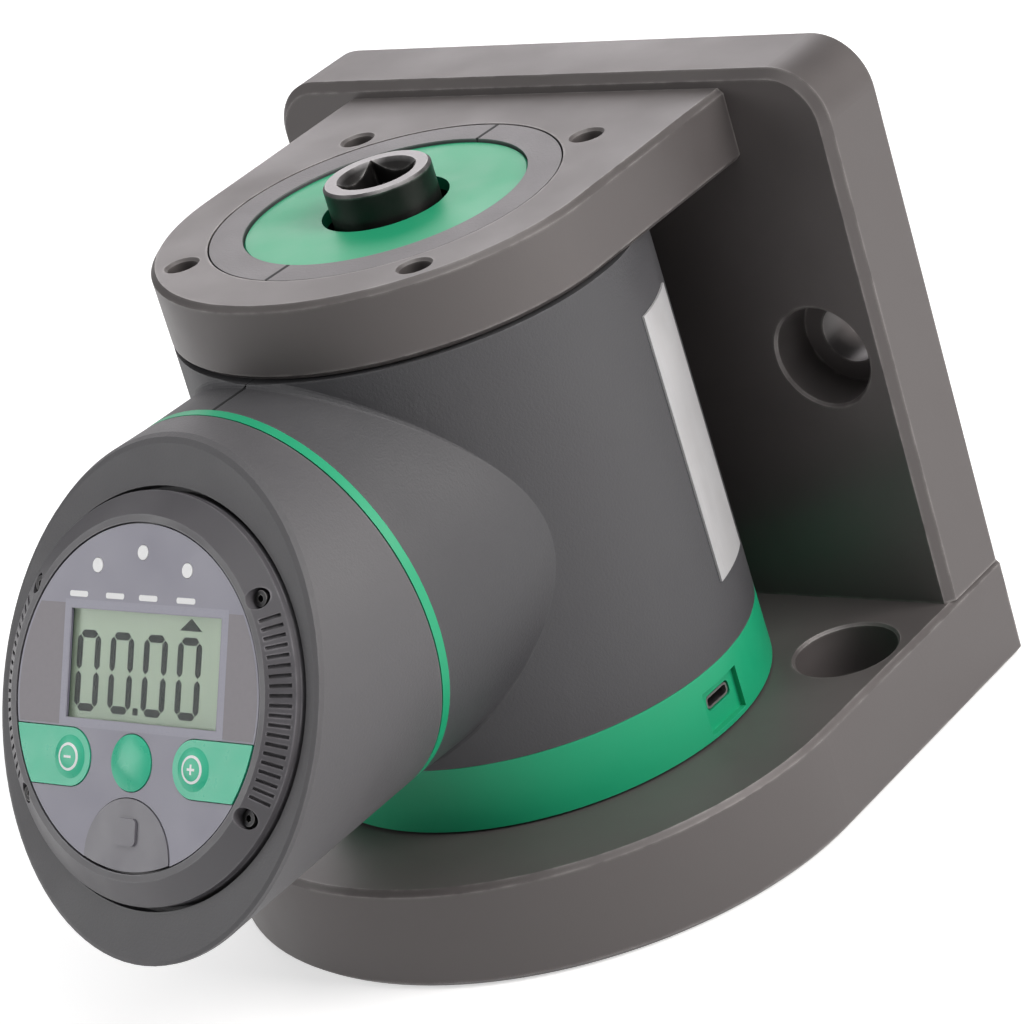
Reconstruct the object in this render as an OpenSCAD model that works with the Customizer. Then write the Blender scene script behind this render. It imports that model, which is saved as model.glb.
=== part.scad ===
/* [Bracket plates] */
// Width of the base plate, also the diameter of its round front
base_w = 153; // [140:1:200]
// Thickness of the base plate
base_t = 24; // [18:1:34]
// Gap between the column and the back plate
wall_gap = 2; // [1:0.2:12]
// Thickness of the back plate
back_t = 21.4; // [18:0.2:34]
// Height of the back plate's top edge above the top plate
back_rise = 3.6; // [1:0.2:40]
// Radius of the back plate's upper corners
back_corner_r = 13; // [6:1:30]
// Chamfer round the back plate's front face
back_chamfer = 2; // [0.5:0.25:4]
// Thickness of the top plate
top_t = 16.8; // [15:0.2:26]
// Width of the top plate's rim round its bore
top_rim = 12.9; // [11.9:0.1:16]
// Chamfer on the other plate edges
plate_chamfer = 1.2; // [0.4:0.2:2]

/* [Fixing holes] */
// Diameter of the four fixing bores
bolt_d = 14; // [10:0.5:18]
// Diameter of their counterbores
bolt_head_d = 23.4; // [20:0.2:26]
// Depth of their counterbores
bolt_head_depth = 12; // [6:0.5:16]
// Distance of the wall holes from the back plate's sides
wall_inset = 17; // [14.5:0.5:18.5]
// Height of the wall holes above the base plate
wall_hole_up = 61; // [16:1:106]
// Distance of the bench holes from the base plate's sides
bench_inset = 15; // [13.5:0.5:17.5]
// Distance of the bench holes in front of the back plate
bench_back = 21.9; // [15.4:0.5:35]
// Distance of the four tapped holes from the top plate's round edge
accessory_inset = 7.045; // [6:0.005:8]
// Diameter of the four tapped holes in the top plate
accessory_d = 6.8; // [5:0.2:7]
// Depth of the four tapped holes in the top plate
accessory_depth = 13; // [8:1:14]

/* [Drive and measuring cell] */
// Side of the square drive, half an inch
square_s = 12.7; // [9.6:0.1:12.8]
// Depth of the square drive
square_depth = 17; // [12:0.5:18]
// Outside diameter of the drive socket
socket_d = 24; // [22:0.5:26]
// Height of the drive socket above the top plate
socket_rise = 6.4; // [3:0.2:12]
// Diameter of the countersink at the socket's mouth
mouth_d = 17.6; // [15:0.2:19]
// Bore diameter of the guide bearing
bearing_bore = 20; // [18:1:21]
// Outside diameter of the guide bearing
bearing_d = 42; // [40:1:50]
// Width of the guide bearing
bearing_w = 12; // [8:1:14]
// Wall of the support tube round the bearing
tube_wall = 6; // [5:0.5:8]
// Thickness of the support tube's flange
flange_t = 7; // [5:0.5:9]
// Land left outside the flange's screw holes
flange_edge = 4.2; // [3:0.1:6]
// Diameter of the gauged length of the measuring shaft
shaft_d = 17; // [14:0.5:20]
// Thickness of the measuring shaft's foot
foot_t = 7; // [5:0.5:9]
// Land left outside the holes in the shaft's foot
foot_edge = 4.9; // [4:0.1:7]

/* [Housing] */
// Turn of the housing about the measuring axis, as shown, in degrees
housing_turn = -4.2; // [-30:0.1:30]
// Room between the support tube's flange and the outside of the column
column_room = 15.4; // [13:0.1:22]
// How much the column's radius shrinks from its foot to its top
column_draft = 1.1; // [0:0.1:2]
// Wall of the housing
wall = 3; // [2.2:0.1:3.6]
// Height of the green ring at the foot
ring_h = 15.2; // [12:0.2:20]
// Width of the housing's rim round the green disc
neck_rim = 7.5; // [6:0.5:9]
// Gap between the green disc and the drive socket
socket_gap = 2.2; // [1:0.1:4]
// Thickness of the green disc
disc_t = 3; // [2:0.25:4]
// How far the pod's front end stands out from the column
pod_reach = 10; // [8:0.2:20]
// Radius of the blend between the pod and the column
pod_blend_r = 2.4; // [1:0.2:5]
// Width of the thin green ring
pod_ring_t = 2.2; // [1.2:0.2:4]
// Width of the charging port's recess
port_w = 13; // [11:0.5:18]
// Height of the charging port above the lower edge of the green ring
port_rise = 7.1; // [5.4:0.1:8]
// Turn of the charging port from the housing's side, in degrees
port_turn = 3; // [-8:1:8]
// Distance of the blank plate's lower edge above the green ring
plate_low = 14.2; // [10:0.2:20]
// Distance of the blank plate's upper edge below the column's top
plate_high = 14.6; // [6:0.2:30]
// Angle that the blank plate spans round the column, in degrees
plate_span = 19; // [10:1:24]

/* [Collar] */
// Distance from the pod's front end to the middle of the slanted face
face_reach = 39; // [36:0.2:52]
// Slant of the face, in degrees
face_tilt = 30.5; // [20:0.5:33]
// How much the collar's radius grows from the pod to the slanted face
collar_grow = 0.9; // [0:0.1:2]
// Width of the collar's face round the head
collar_band = 4.5; // [3.5:0.1:6]
// Rounding of the rim of the slanted face
rim_round = 1.4; // [0.6:0.2:2]

/* [Display head] */
// Turn of the head in its collar, as shown, in degrees
head_turn = 2; // [-20:0.5:20]
// Diameter of the front disc
overlay_d = 70.8; // [66:0.2:82]
// Thickness of the front disc
overlay_t = 1.3; // [1:0.1:1.6]
// Width of the head's bevelled ring round the front disc
head_band = 7; // [6.4:0.1:9]
// Height of the head above the slanted face
head_rise = 5.4; // [4:0.2:8]
// Width of the front disc beside the display opening
lcd_side = 13.4; // [12.6:0.1:18]
// Height of the display opening
lcd_h = 22.4; // [18:0.2:26]
// Diameter of the round key
key_d = 12; // [10:0.5:13]
// Travel of the keys
key_travel = 0.5; // [0.3:0.1:0.6]
// Number of grip grooves on each side
grip_count = 20; // [8:1:24]

/* [Fits] */
// Radial clearance of a turning fit between mouldings
turn_gap = 0.3; // [0.2:0.05:0.4]
// Radial clearance of a running fit between machined pieces
run_gap = 0.06; // [0.03:0.01:0.1]
// Gap between pieces that are assembled side by side
seat_gap = 0.1; // [0.05:0.05:0.2]

/* [Hidden] */
$fn = 96;
over = 1;
big = 300;

// Screws, by the nominal diameter of the thread
m8 = 8;
m5 = 5;
m4 = 4;
m3 = 3;
m25 = 2.5;
m2 = 2;
head_share = 1.65;
hex_share = 0.8;
hex_depth_share = 0.55;
clear_share = 1.1;
head_room = 1.2;
tap_extra = 2;
head_clear = 1;

// Radii, from the display outwards and from the bearing outwards
overlay_r = overlay_d / 2;
head_r = overlay_r + head_band;
collar_r = head_r + collar_band;
pod_r = collar_r - collar_grow;
foot_fillet = 3;
foot_screw_gap = 0.7;
foot_pcd = shaft_d + 2 * foot_fillet + m4 * head_share + 2 * foot_screw_gap;
foot_d = foot_pcd + 2 * foot_edge;
foot_side = 0.6;
tube_bore = foot_d + 2 * foot_side;
tube_d = max(bearing_d, tube_bore) + 2 * tube_wall;
shoulder_w = 2.5;
shoulder_d = tube_d + 2 * shoulder_w;
flange_screw_gap = 0.175;
flange_pcd = shoulder_d + m5 * head_share + 2 * flange_screw_gap;
flange_d = flange_pcd + 2 * flange_edge;
column_r = flange_d / 2 + column_room;
column_top_r = column_r - column_draft;
top_r = column_top_r;
top_w = 2 * top_r;
neck_gap = 0.4;
neck_r = top_r - top_rim - neck_gap;

// Heights, from the bench upwards
foot_gap = 0.6;
ring_z = base_t + foot_gap;
ring_top = ring_z + ring_h;
pod_sink = 0.2;
pod_z = ring_top + pod_r - pod_sink;
pod_cover = 0.5;
column_top = pod_z + pod_r + pod_cover;
top_gap = 0.5;
top_under = column_top + top_gap;
top_z = top_under + top_t;
back_h = top_z + back_rise;
neck_sink = 0.1;
neck_top = top_z - neck_sink;

// Bracket
base_r = base_w / 2;
wall_dist = column_r + wall_gap;
back_y = wall_dist + back_t;
mouth_bevel = 0.6;
wall_pitch = base_w - 2 * wall_inset;
wall_hole_z = base_t + wall_hole_up;
bench_pitch = base_w - 2 * bench_inset;
bench_hole_y = wall_dist - bench_back;
accessory_pitch = (top_r - accessory_inset) * sqrt(2);
base_screw_inset = 28.5;
base_screw_pitch = base_r - base_screw_inset;
base_screw_sink = 9;
base_screw_reach = 18;
top_screw_inset = 12.3;
top_screw_pitch = top_r - top_screw_inset;
top_screw_sink = 9;
top_screw_reach = 12;

// Measuring cell
socket_top = top_z + socket_rise;
tube_below = 2.5;
tube_top = top_under - tube_below;
bearing_sink = 1.5;
tube_pocket_z = tube_top - bearing_sink - bearing_w;
tube_step = 3;
shoulder_z = base_t + flange_t + m5 + head_clear;
flange_screws = 6;
flange_reach = 10;
foot_screws = 6;
foot_reach = 9;
wire_hole_d = 8;
wire_hole_up = 34;
wire_hole_z = base_t + wire_hole_up;
square_side = 0.35;
shaft_square_s = square_s + 2 * square_side;
shaft_square_h = 14;
shaft_below = 2;
shaft_top = tube_pocket_z - shaft_below;
flat_cut = 0.7;
flat_s = shaft_d - 2 * flat_cut;
flat_up = 26;
flat_z = base_t + flat_up;
flat_h = 30;
gauge_w = 6;
gauge_h = 10;
gauge_t = 0.25;
ball_d = 6.4;
ball_count = 9;
race_share = 0.3;
skirt_wall = 3.4;

// Housing
disc_r = neck_r - neck_rim;
disc_hole_d = socket_d + 2 * socket_gap;
disc_sink = 0.7;
disc_top = neck_top - disc_sink;
disc_ledge = 3;
disc_z = disc_top - disc_t;
seam = 0.3;
seam_depth = 0.5;
skirt_t = 2;
ring_wall = 3.4;
port_z = ring_z + port_rise;
port_depth = 1.8;
port_top_rise = 4;
port_lip = 1;
plate_z = ring_top + plate_low;
plate_top = column_top - plate_high;
pod_len = column_r + pod_reach;
blend_embed = 0.15;
blend_back = 1;
blend_turns = 96;
blend_steps = 5;
web_t = 4;
bush_t = 3;
bush_h = 10;
bush_lip = 1.6;
lower_bush_z = shoulder_z + turn_gap;
bush_below = 4;
upper_bush_z = tube_top - bush_h - bush_below;
boss_r = 4.4;
screw_tap = 13;
screw_back = 14;
screw_inset = 13.4;
rear_screw_inset = 10;
rear_screw_up = pod_r - rear_screw_inset;
front_screw_back = 27.4;
front_screw_y = front_screw_back - pod_len;
front_screw_inset = 9.5;
front_screw_up = pod_r - front_screw_inset;
// Places of the housing screws: distance behind the measuring axis and height above the pod's axis
screw_places = [[column_r - screw_inset, rear_screw_up], [column_r - screw_inset, -rear_screw_up],
    [front_screw_y, front_screw_up], [front_screw_y, -front_screw_up]];
board_back = 19.4;
board_place = pod_len - board_back;
board_t = 1.6;
slot_rib = 1.6;
board_edge = 1.8;
main_board_r = pod_r - wall - board_edge;
battery_size = [50, 32, 9];
usb_w = 8;
usb_h = 3;
usb_len = 7.5;
usb_wall = 0.5;
usb_slot = 1.1;
flange_gap = 1.3;
usb_board_len = column_room - flange_gap - skirt_t - seat_gap - ring_wall;
usb_board_w = 14;
usb_sink = 0.3;
name_plate_t = 0.5;
name_plate_turn = 14.5;

// Collar
spigot_r = pod_r - wall - turn_gap;
spigot_len = 11;
spigot_wall = 5.4;
groove_depth = 2.2;
groove_w = 3;
groove_back = 4.6;
ring_end = pod_len + pod_ring_t + seat_gap;
collar_z = ring_end + turn_gap;
face_dist = pod_len + face_reach;
collar_wall = 3;
rim_share = 0.3;
skin = 0.05;
collar_reach = face_dist + 2 * collar_r;
flare = collar_grow / (face_dist - collar_z);
head_gap = 1;
recess = 4.2;
face_floor = 2.8;
hub_inset = 12.4;
hub_r = head_r - hub_inset;
hub_wall = 4.4;

// Display head, heights from the slanted face
pan_bottom = turn_gap - recess;
pan_floor_t = 1.8;
pan_top = 0.2;
pan_rim_w = 5.8;
pan_rim_r = head_r - pan_rim_w;
retainer_t = 2.4;
retainer_w = 5;
retainer_top = -recess - face_floor - turn_gap;
retainer_screw_count = 4;
retainer_grip = 3;
head_screw_grip = 2.6;
board_screw_grip = 1.8;
board_inset = 2;
display_board_r = overlay_r - board_inset;
display_board_z = -1.2;
display_board_top = display_board_z + board_t;
post_r = 2.4;
overlay_sink = 0.2;
overlay_top = head_rise - overlay_sink;
overlay_z = overlay_top - overlay_t;
overlay_gap = 0.35;
seat_r = overlay_r + overlay_gap;
ledge_w = 1.75;
ledge_r = seat_r - ledge_w;
land_w = 1.55;
bevel_foot = 1.7;
screw_edge = 3.4;
screw_r = head_r - screw_edge;
screw_angle = 34;
screw_hole_d = 4.4;
screw_seat = 1.2;
grip_span = 54;
grip_w = 0.8;
grip_depth = 0.7;
grip_len = 4.6;
key_gap = 0.2;
key_lip = 0.5;
key_inset = 0.4;
key_y = -13.2;
key_x = 18.2;
key_rise = 0.25;
key_lip_t = 0.7;
key_boss_d = 9;
key_boss_rise = 0.8;
mode_rise = 1;
cap_s = 5.6;
cap_r = 1.2;
cap_rise = 0.5;
stem_d = 2;
stem_gap = 0.2;
arch_r = 12.4;
arch_gap = 1.2;
arch_y = key_y - key_d / 2 - arch_gap - arch_r;
arch_stem_inset = 8.2;
arch_stem_y = arch_stem_inset - overlay_r;
lcd_x = 1.7;
lcd_gap = 2.1;
lcd_w = overlay_d - 2 * lcd_side;
lcd_y = key_y + key_d / 2 + lcd_gap + lcd_h / 2;
window_lip = 1.1;
window_t = 0.7;
module_edge = 1.3;
module_gap = 0.2;
led_d = 3;
led_inset = 5.9;
led_r = overlay_r - led_inset;
led_angles = [63.5, 90, 116.5];
switch_s = 4.4;
switch_h = overlay_z - turn_gap - key_lip_t - key_travel - key_gap - display_board_top;
switch_floor = 0.2;
stem_places = [[-key_x, key_y], [0, key_y], [key_x, key_y], [0, arch_stem_y]];
board_screw_edge = 2.8;
board_screw_r = display_board_r - board_screw_edge;
board_screw_angles = [8, 172, 232, 308];

// Shared shapes

module socket_screw(d, length) {
    // A socket head screw whose head rests at height zero and whose shank points down
    difference() {
        union() {
            cylinder(h = d, d = d * head_share);
            translate([0, 0, -length]) cylinder(h = length + d / 2, d = d);
        }
        translate([0, 0, d * (1 - hex_depth_share)]) cylinder(h = d, d = d * hex_share, $fn = 6);
    }
}

module ring_of(count, pcd) {
    for (i = [0 : count - 1]) rotate([0, 0, i * 360 / count])
        translate([pcd / 2, 0, 0]) children();
}

module bevel_disc(r, t, bevel) {
    rotate_extrude() polygon([[0, 0], [r - bevel, 0], [r, bevel], [r, t - bevel], [r - bevel, t], [0, t]]);
}

module bevel_bar(w, t, bevel, y0, y1) {
    // A bar along Y whose long edges are chamfered
    half = w / 2;
    translate([0, y1, 0]) rotate([90, 0, 0]) linear_extrude(height = y1 - y0)
        polygon([[-half + bevel, 0], [half - bevel, 0], [half, bevel], [half, t - bevel], [half - bevel, t],
            [-half + bevel, t], [-half, t - bevel], [-half, bevel]]);
}

module d_plate(w, t, bevel, y1) {
    // A plate with a round front: a disc that ends at the back edge, and the bar behind its middle
    intersection() {
        bevel_disc(w / 2, t, bevel);
        translate([-w, -w, -over]) cube([2 * w, w + y1, t + 2 * over]);
    }
    bevel_bar(w, t, bevel, 0, y1);
}

module bolt_hole(t) {
    // A through bore with a counterbore from the top face at height zero
    translate([0, 0, -t - over]) cylinder(h = t + 2 * over, d = bolt_d);
    translate([0, 0, -bolt_head_depth]) cylinder(h = bolt_head_depth + over, d = bolt_head_d);
    translate([0, 0, -mouth_bevel])
        cylinder(h = mouth_bevel + over, d1 = bolt_head_d, d2 = bolt_head_d + 2 * (mouth_bevel + over));
}

module tube_of(r_out, r_in, h) {
    difference() {
        cylinder(h = h, r = r_out);
        translate([0, 0, -over]) cylinder(h = h + 2 * over, r = r_in);
    }
}

// Frames of the moving groups

module in_housing() {
    rotate([0, 0, housing_turn]) children();
}

module in_pod() {
    in_housing() translate([0, 0, pod_z]) rotate([90, 0, 0]) children();
}

module in_face() {
    in_pod() translate([0, 0, face_dist]) rotate([-face_tilt, 0, 0]) children();
}

module in_head() {
    in_face() rotate([0, 0, head_turn]) children();
}

// Bracket

module at_base_screws() {
    for (i = [-1 : 1]) translate([i * base_screw_pitch, wall_dist + back_t / 2, 0]) children();
}

module at_top_screws() {
    for (i = [-1 : 1]) translate([i * top_screw_pitch, back_y, top_z - top_t / 2])
        rotate([-90, 0, 0]) children();
}

module base_plate() {
    color("#5c5858") difference() {
        d_plate(base_w, base_t, plate_chamfer, back_y);
        for (i = [-1, 1]) translate([i * bench_pitch / 2, bench_hole_y, base_t]) bolt_hole(base_t);
        at_base_screws() {
            translate([0, 0, -over]) cylinder(h = base_t + 2 * over, d = m8 * clear_share);
            translate([0, 0, -over]) cylinder(h = base_screw_sink + over, d = m8 * head_share + head_room);
        }
        translate([0, 0, base_t - flange_reach - tap_extra])
            ring_of(flange_screws, flange_pcd)
            cylinder(h = flange_reach + tap_extra + over, d = m5 + 2 * run_gap);
        translate([0, 0, base_t - foot_reach - tap_extra])
            ring_of(foot_screws, foot_pcd)
            cylinder(h = foot_reach + tap_extra + over, d = m4 + 2 * run_gap);
    }
}

module back_plate() {
    half = base_w / 2;
    corner_x = half - back_corner_r;
    corner_z = back_h - back_corner_r;
    color("#524e4e") difference() {
        union() {
            translate([0, 0, base_t]) linear_extrude(height = corner_z - base_t)
                polygon([[-half + back_chamfer, wall_dist], [half - back_chamfer, wall_dist],
                    [half, wall_dist + back_chamfer], [half, back_y - plate_chamfer],
                    [half - plate_chamfer, back_y], [-half + plate_chamfer, back_y],
                    [-half, back_y - plate_chamfer], [-half, wall_dist + back_chamfer]]);
            translate([-corner_x, 0, 0]) rotate([90, 0, 90]) linear_extrude(height = 2 * corner_x)
                polygon([[wall_dist, base_t], [back_y, base_t], [back_y, back_h - plate_chamfer],
                    [back_y - plate_chamfer, back_h], [wall_dist + back_chamfer, back_h],
                    [wall_dist, back_h - back_chamfer]]);
            for (i = [-1, 1]) translate([i * corner_x, back_y, corner_z]) rotate([90, 0, 0])
                rotate_extrude() polygon([[0, 0], [back_corner_r - plate_chamfer, 0],
                    [back_corner_r, plate_chamfer], [back_corner_r, back_t - back_chamfer],
                    [back_corner_r - back_chamfer, back_t], [0, back_t]]);
        }
        for (i = [-1, 1]) translate([i * wall_pitch / 2, wall_dist, wall_hole_z]) rotate([90, 0, 0])
            bolt_hole(back_t);
        at_base_screws() translate([0, 0, base_t - over])
            cylinder(h = base_screw_reach + tap_extra + over, d = m8 + 2 * run_gap);
        at_top_screws() {
            translate([0, 0, -back_t - over]) cylinder(h = back_t + 2 * over, d = m8 * clear_share);
            translate([0, 0, -top_screw_sink])
                cylinder(h = top_screw_sink + over, d = m8 * head_share + head_room);
        }
    }
}

module top_plate() {
    color("#6a6566") difference() {
        translate([0, 0, top_under]) d_plate(top_w, top_t, plate_chamfer, wall_dist);
        translate([0, 0, top_under - over]) cylinder(h = top_t + 2 * over, r = neck_r + neck_gap);
        for (x = [-1, 1], y = [-1, 1])
            translate([x * accessory_pitch / 2, y * accessory_pitch / 2, top_z]) {
                translate([0, 0, -accessory_depth]) cylinder(h = accessory_depth + over, d = accessory_d);
                translate([0, 0, -mouth_bevel]) cylinder(h = mouth_bevel + over, d1 = accessory_d,
                    d2 = accessory_d + 2 * (mouth_bevel + over));
            }
        at_top_screws() translate([0, 0, -back_t - top_screw_reach - tap_extra])
            cylinder(h = top_screw_reach + tap_extra + over, d = m8 + 2 * run_gap);
    }
}

module base_screws() {
    color("#26262a") at_base_screws() translate([0, 0, base_screw_sink]) rotate([180, 0, 0])
        socket_screw(m8, base_t - base_screw_sink + base_screw_reach);
}

module top_screws() {
    color("#26262a") at_top_screws() translate([0, 0, -top_screw_sink])
        socket_screw(m8, back_t - top_screw_sink + top_screw_reach);
}

// Measuring cell

module support_tube() {
    color("#b9bcc2") difference() {
        rotate_extrude() polygon([[tube_bore / 2, base_t], [flange_d / 2, base_t],
            [flange_d / 2, base_t + flange_t], [shoulder_d / 2, base_t + flange_t],
            [shoulder_d / 2, shoulder_z], [tube_d / 2, shoulder_z], [tube_d / 2, tube_top],
            [bearing_d / 2 + run_gap, tube_top], [bearing_d / 2 + run_gap, tube_pocket_z],
            [bearing_d / 2 - tube_step, tube_pocket_z],
            [bearing_d / 2 - tube_step, tube_pocket_z - 2 * tube_step],
            [tube_bore / 2, tube_pocket_z - 3 * tube_step]]);
        translate([0, 0, base_t - over])
            ring_of(flange_screws, flange_pcd) cylinder(h = flange_t + 2 * over, d = m5 * clear_share);
        translate([0, 0, wire_hole_z]) rotate([90, 0, 0]) cylinder(h = tube_d, d = wire_hole_d);
    }
}

module tube_screws() {
    color("#3a3a3e") translate([0, 0, base_t + flange_t]) ring_of(flange_screws, flange_pcd)
        socket_screw(m5, flange_t + flange_reach);
}

module measuring_shaft() {
    r = shaft_d / 2;
    color("#c9cbd0") difference() {
        union() {
            rotate_extrude() polygon([[0, base_t], [foot_d / 2, base_t], [foot_d / 2, base_t + foot_t],
                [r + foot_fillet, base_t + foot_t], [r, base_t + foot_t + foot_fillet],
                [r, shaft_top - shaft_square_h], [0, shaft_top - shaft_square_h]]);
            translate([-shaft_square_s / 2, -shaft_square_s / 2, shaft_top - shaft_square_h - over])
                cube([shaft_square_s, shaft_square_s, shaft_square_h + over]);
        }
        for (i = [0 : 3]) rotate([0, 0, i * 90]) translate([flat_s / 2, -r, flat_z]) cube([r, 2 * r, flat_h]);
        translate([0, 0, base_t - over])
            ring_of(foot_screws, foot_pcd) cylinder(h = foot_t + 2 * over, d = m4 * clear_share);
    }
}

module shaft_screws() {
    color("#3a3a3e") translate([0, 0, base_t + foot_t]) ring_of(foot_screws, foot_pcd)
        socket_screw(m4, foot_t + foot_reach);
}

module strain_gauges() {
    color("#d8a24a") for (i = [0 : 3]) rotate([0, 0, i * 90])
        translate([flat_s / 2, -gauge_w / 2, flat_z + (flat_h - gauge_h) / 2])
        cube([gauge_t, gauge_w, gauge_h]);
}

module guide_bearing() {
    race = (bearing_d - bearing_bore) / 2 * race_share;
    track = (bearing_d + bearing_bore) / 4;
    color("#d0d3d8") translate([0, 0, tube_pocket_z]) {
        difference() {
            union() {
                tube_of(bearing_d / 2, bearing_d / 2 - race, bearing_w);
                tube_of(bearing_bore / 2 + race, bearing_bore / 2 + run_gap, bearing_w);
            }
            translate([0, 0, bearing_w / 2]) rotate_extrude()
                translate([track, 0]) circle(d = ball_d + 2 * run_gap);
        }
        translate([0, 0, bearing_w / 2]) ring_of(ball_count, 2 * track)
            sphere(d = ball_d, $fn = 32);
    }
}

module drive_socket() {
    journal_r = bearing_bore / 2;
    bearing_top = tube_pocket_z + bearing_w;
    skirt_r = shaft_square_s / sqrt(2) + skirt_wall;
    square_fit = shaft_square_s + 2 * run_gap;
    color("#2b2b2e") difference() {
        rotate_extrude() polygon([[0, shaft_top - shaft_square_h + 2 * seat_gap],
            [skirt_r, shaft_top - shaft_square_h + 2 * seat_gap],
            [skirt_r, tube_pocket_z - seat_gap], [journal_r, tube_pocket_z - seat_gap],
            [journal_r, bearing_top + seat_gap], [socket_d / 2, bearing_top + seat_gap],
            [socket_d / 2, socket_top - mouth_bevel], [socket_d / 2 - mouth_bevel, socket_top],
            [0, socket_top]]);
        translate([-square_fit / 2, -square_fit / 2, shaft_top - shaft_square_h - over])
            cube([square_fit, square_fit, shaft_square_h + over + seat_gap]);
        translate([-square_s / 2, -square_s / 2, socket_top - square_depth])
            cube([square_s, square_s, square_depth + over]);
        translate([0, 0, socket_top - (mouth_d - square_s) / 2])
            cylinder(h = (mouth_d - square_s) / 2 + over, d1 = square_s, d2 = mouth_d + 2 * over);
    }
}

// Housing

function column_at(z) = column_r + (column_top_r - column_r) * (z - ring_z) / (column_top - ring_z);

module column_cone(inset, z0, z1) {
    translate([0, 0, z0]) cylinder(h = z1 - z0, r1 = column_at(z0) - inset, r2 = column_at(z1) - inset);
}

// Middle of the ball that rolls in the corner between pod and column, at a turn round the pod's axis
function blend_middle(turn) = let (
    reach = pod_r - blend_embed + pod_blend_r,
    side = reach * cos(turn),
    up = reach * sin(turn),
    far = column_at(pod_z + up) - blend_embed + pod_blend_r)
    [side, -sqrt(far * far - side * side), up];

// Unit vector from one place on the level to another
function unit(v) = v / norm(v);

// Points of one section through the blend: the ball's arc from the pod to the column, then a corner
// that lies inside both walls
function blend_section(turn) = let (
    middle = blend_middle(turn),
    to_pod = [-cos(turn), 0, -sin(turn)],
    to_column = unit([-middle[0], -middle[1], 0]),
    bend = acos(to_pod * to_column),
    deep = pod_r - blend_embed - blend_back,
    side = deep * cos(turn),
    up = deep * sin(turn),
    far = column_at(pod_z + up) - blend_embed - blend_back)
    concat([for (i = [0 : blend_steps]) let (t = bend * i / blend_steps)
            middle + pod_blend_r * (sin(bend - t) * to_pod + sin(t) * to_column) / sin(bend)],
        [[side, -sqrt(far * far - side * side), up]]);

module pod_blend() {
    // The blend is one closed loop of sections round the pod's axis, cut off at the green ring and
    // at the top of the column
    count = blend_steps + 2;
    points = [for (i = [0 : blend_turns - 1]) each blend_section(i * 360 / blend_turns)];
    faces = [for (i = [0 : blend_turns - 1], j = [0 : count - 1]) let (
        a = i * count + j,
        b = i * count + (j + 1) % count,
        c = ((i + 1) % blend_turns) * count + j,
        d = ((i + 1) % blend_turns) * count + (j + 1) % count)
        each [[a, d, b], [a, c, d]]];
    intersection() {
        translate([0, 0, pod_z]) polyhedron(points = points, faces = faces, convexity = 4);
        translate([-base_w, -base_w, ring_top + seat_gap])
            cube([2 * base_w, 2 * base_w, column_top - ring_top - seat_gap]);
    }
}

module housing_outside() {
    skirt_r = column_r - ring_wall - seat_gap;
    column_cone(0, ring_top + seat_gap, column_top);
    pod_blend();
    translate([0, 0, ring_z]) cylinder(h = ring_h + over, r = skirt_r);
    translate([0, 0, column_top - over]) cylinder(h = neck_top - column_top + over, r = neck_r);
    difference() {
        translate([0, 0, pod_z]) rotate([90, 0, 0]) cylinder(h = pod_len, r = pod_r);
        translate([0, 0, ring_z - over]) cylinder(h = ring_h + over + seat_gap, r = column_r + seat_gap);
    }
}

module housing_hollow() {
    skirt_in = column_r - ring_wall - seat_gap - skirt_t;
    translate([0, 0, ring_z - over]) cylinder(h = ring_h + wall + 2 * over, r = skirt_in);
    column_cone(wall, ring_top + wall, column_top - wall);
    translate([0, 0, column_top - wall - over])
        cylinder(h = disc_z - column_top + over, r = neck_r - wall);
    translate([0, 0, column_top]) cylinder(h = neck_top - column_top + over, r = disc_r - disc_ledge);
    translate([0, 0, disc_z]) cylinder(h = neck_top - disc_z + over, r = disc_r + seat_gap);
    translate([0, 0, pod_z]) rotate([90, 0, 0]) cylinder(h = pod_len + over, r = pod_r - wall);
}

module housing_webs() {
    bush_seat = tube_d / 2 + run_gap + bush_t + seat_gap;
    difference() {
        for (z = [lower_bush_z + bush_lip + seat_gap, upper_bush_z + bush_h - bush_lip - seat_gap - web_t])
            translate([0, 0, z]) tube_of(column_at(z) - wall / 2, bush_seat, web_t);
        translate([-big, -big - board_place + web_t, 0]) cube([2 * big, big, big]);
    }
}

module pod_ribs() {
    groove_z = pod_len - groove_back - groove_w / 2;
    translate([0, 0, pod_z]) rotate([90, 0, 0]) {
        for (z = [board_place - seat_gap - slot_rib, board_place + board_t + seat_gap])
            translate([0, 0, z]) tube_of(pod_r - wall / 2, main_board_r - slot_rib, slot_rib);
        translate([0, 0, groove_z + turn_gap])
            tube_of(pod_r - wall / 2, spigot_r - groove_depth + turn_gap, groove_w - 2 * turn_gap);
    }
}

module at_housing_screws() {
    for (p = screw_places) translate([0, p[0], pod_z + p[1]]) rotate([0, 90, 0]) children();
}

module port_slot() {
    rotate([0, 0, port_turn]) translate([column_r / 2, 0, port_z]) rotate([0, 90, 0])
        linear_extrude(height = column_r)
        rounded_rect(usb_h + 2 * usb_sink, usb_w + 2 * usb_sink, usb_slot);
}

module rounded_rect(w, h, r) {
    square([w - 2 * r, h], center = true);
    square([w, h - 2 * r], center = true);
    for (x = [-1, 1], y = [-1, 1]) translate([x * (w / 2 - r), y * (h / 2 - r)]) circle(r = r);
}

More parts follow.
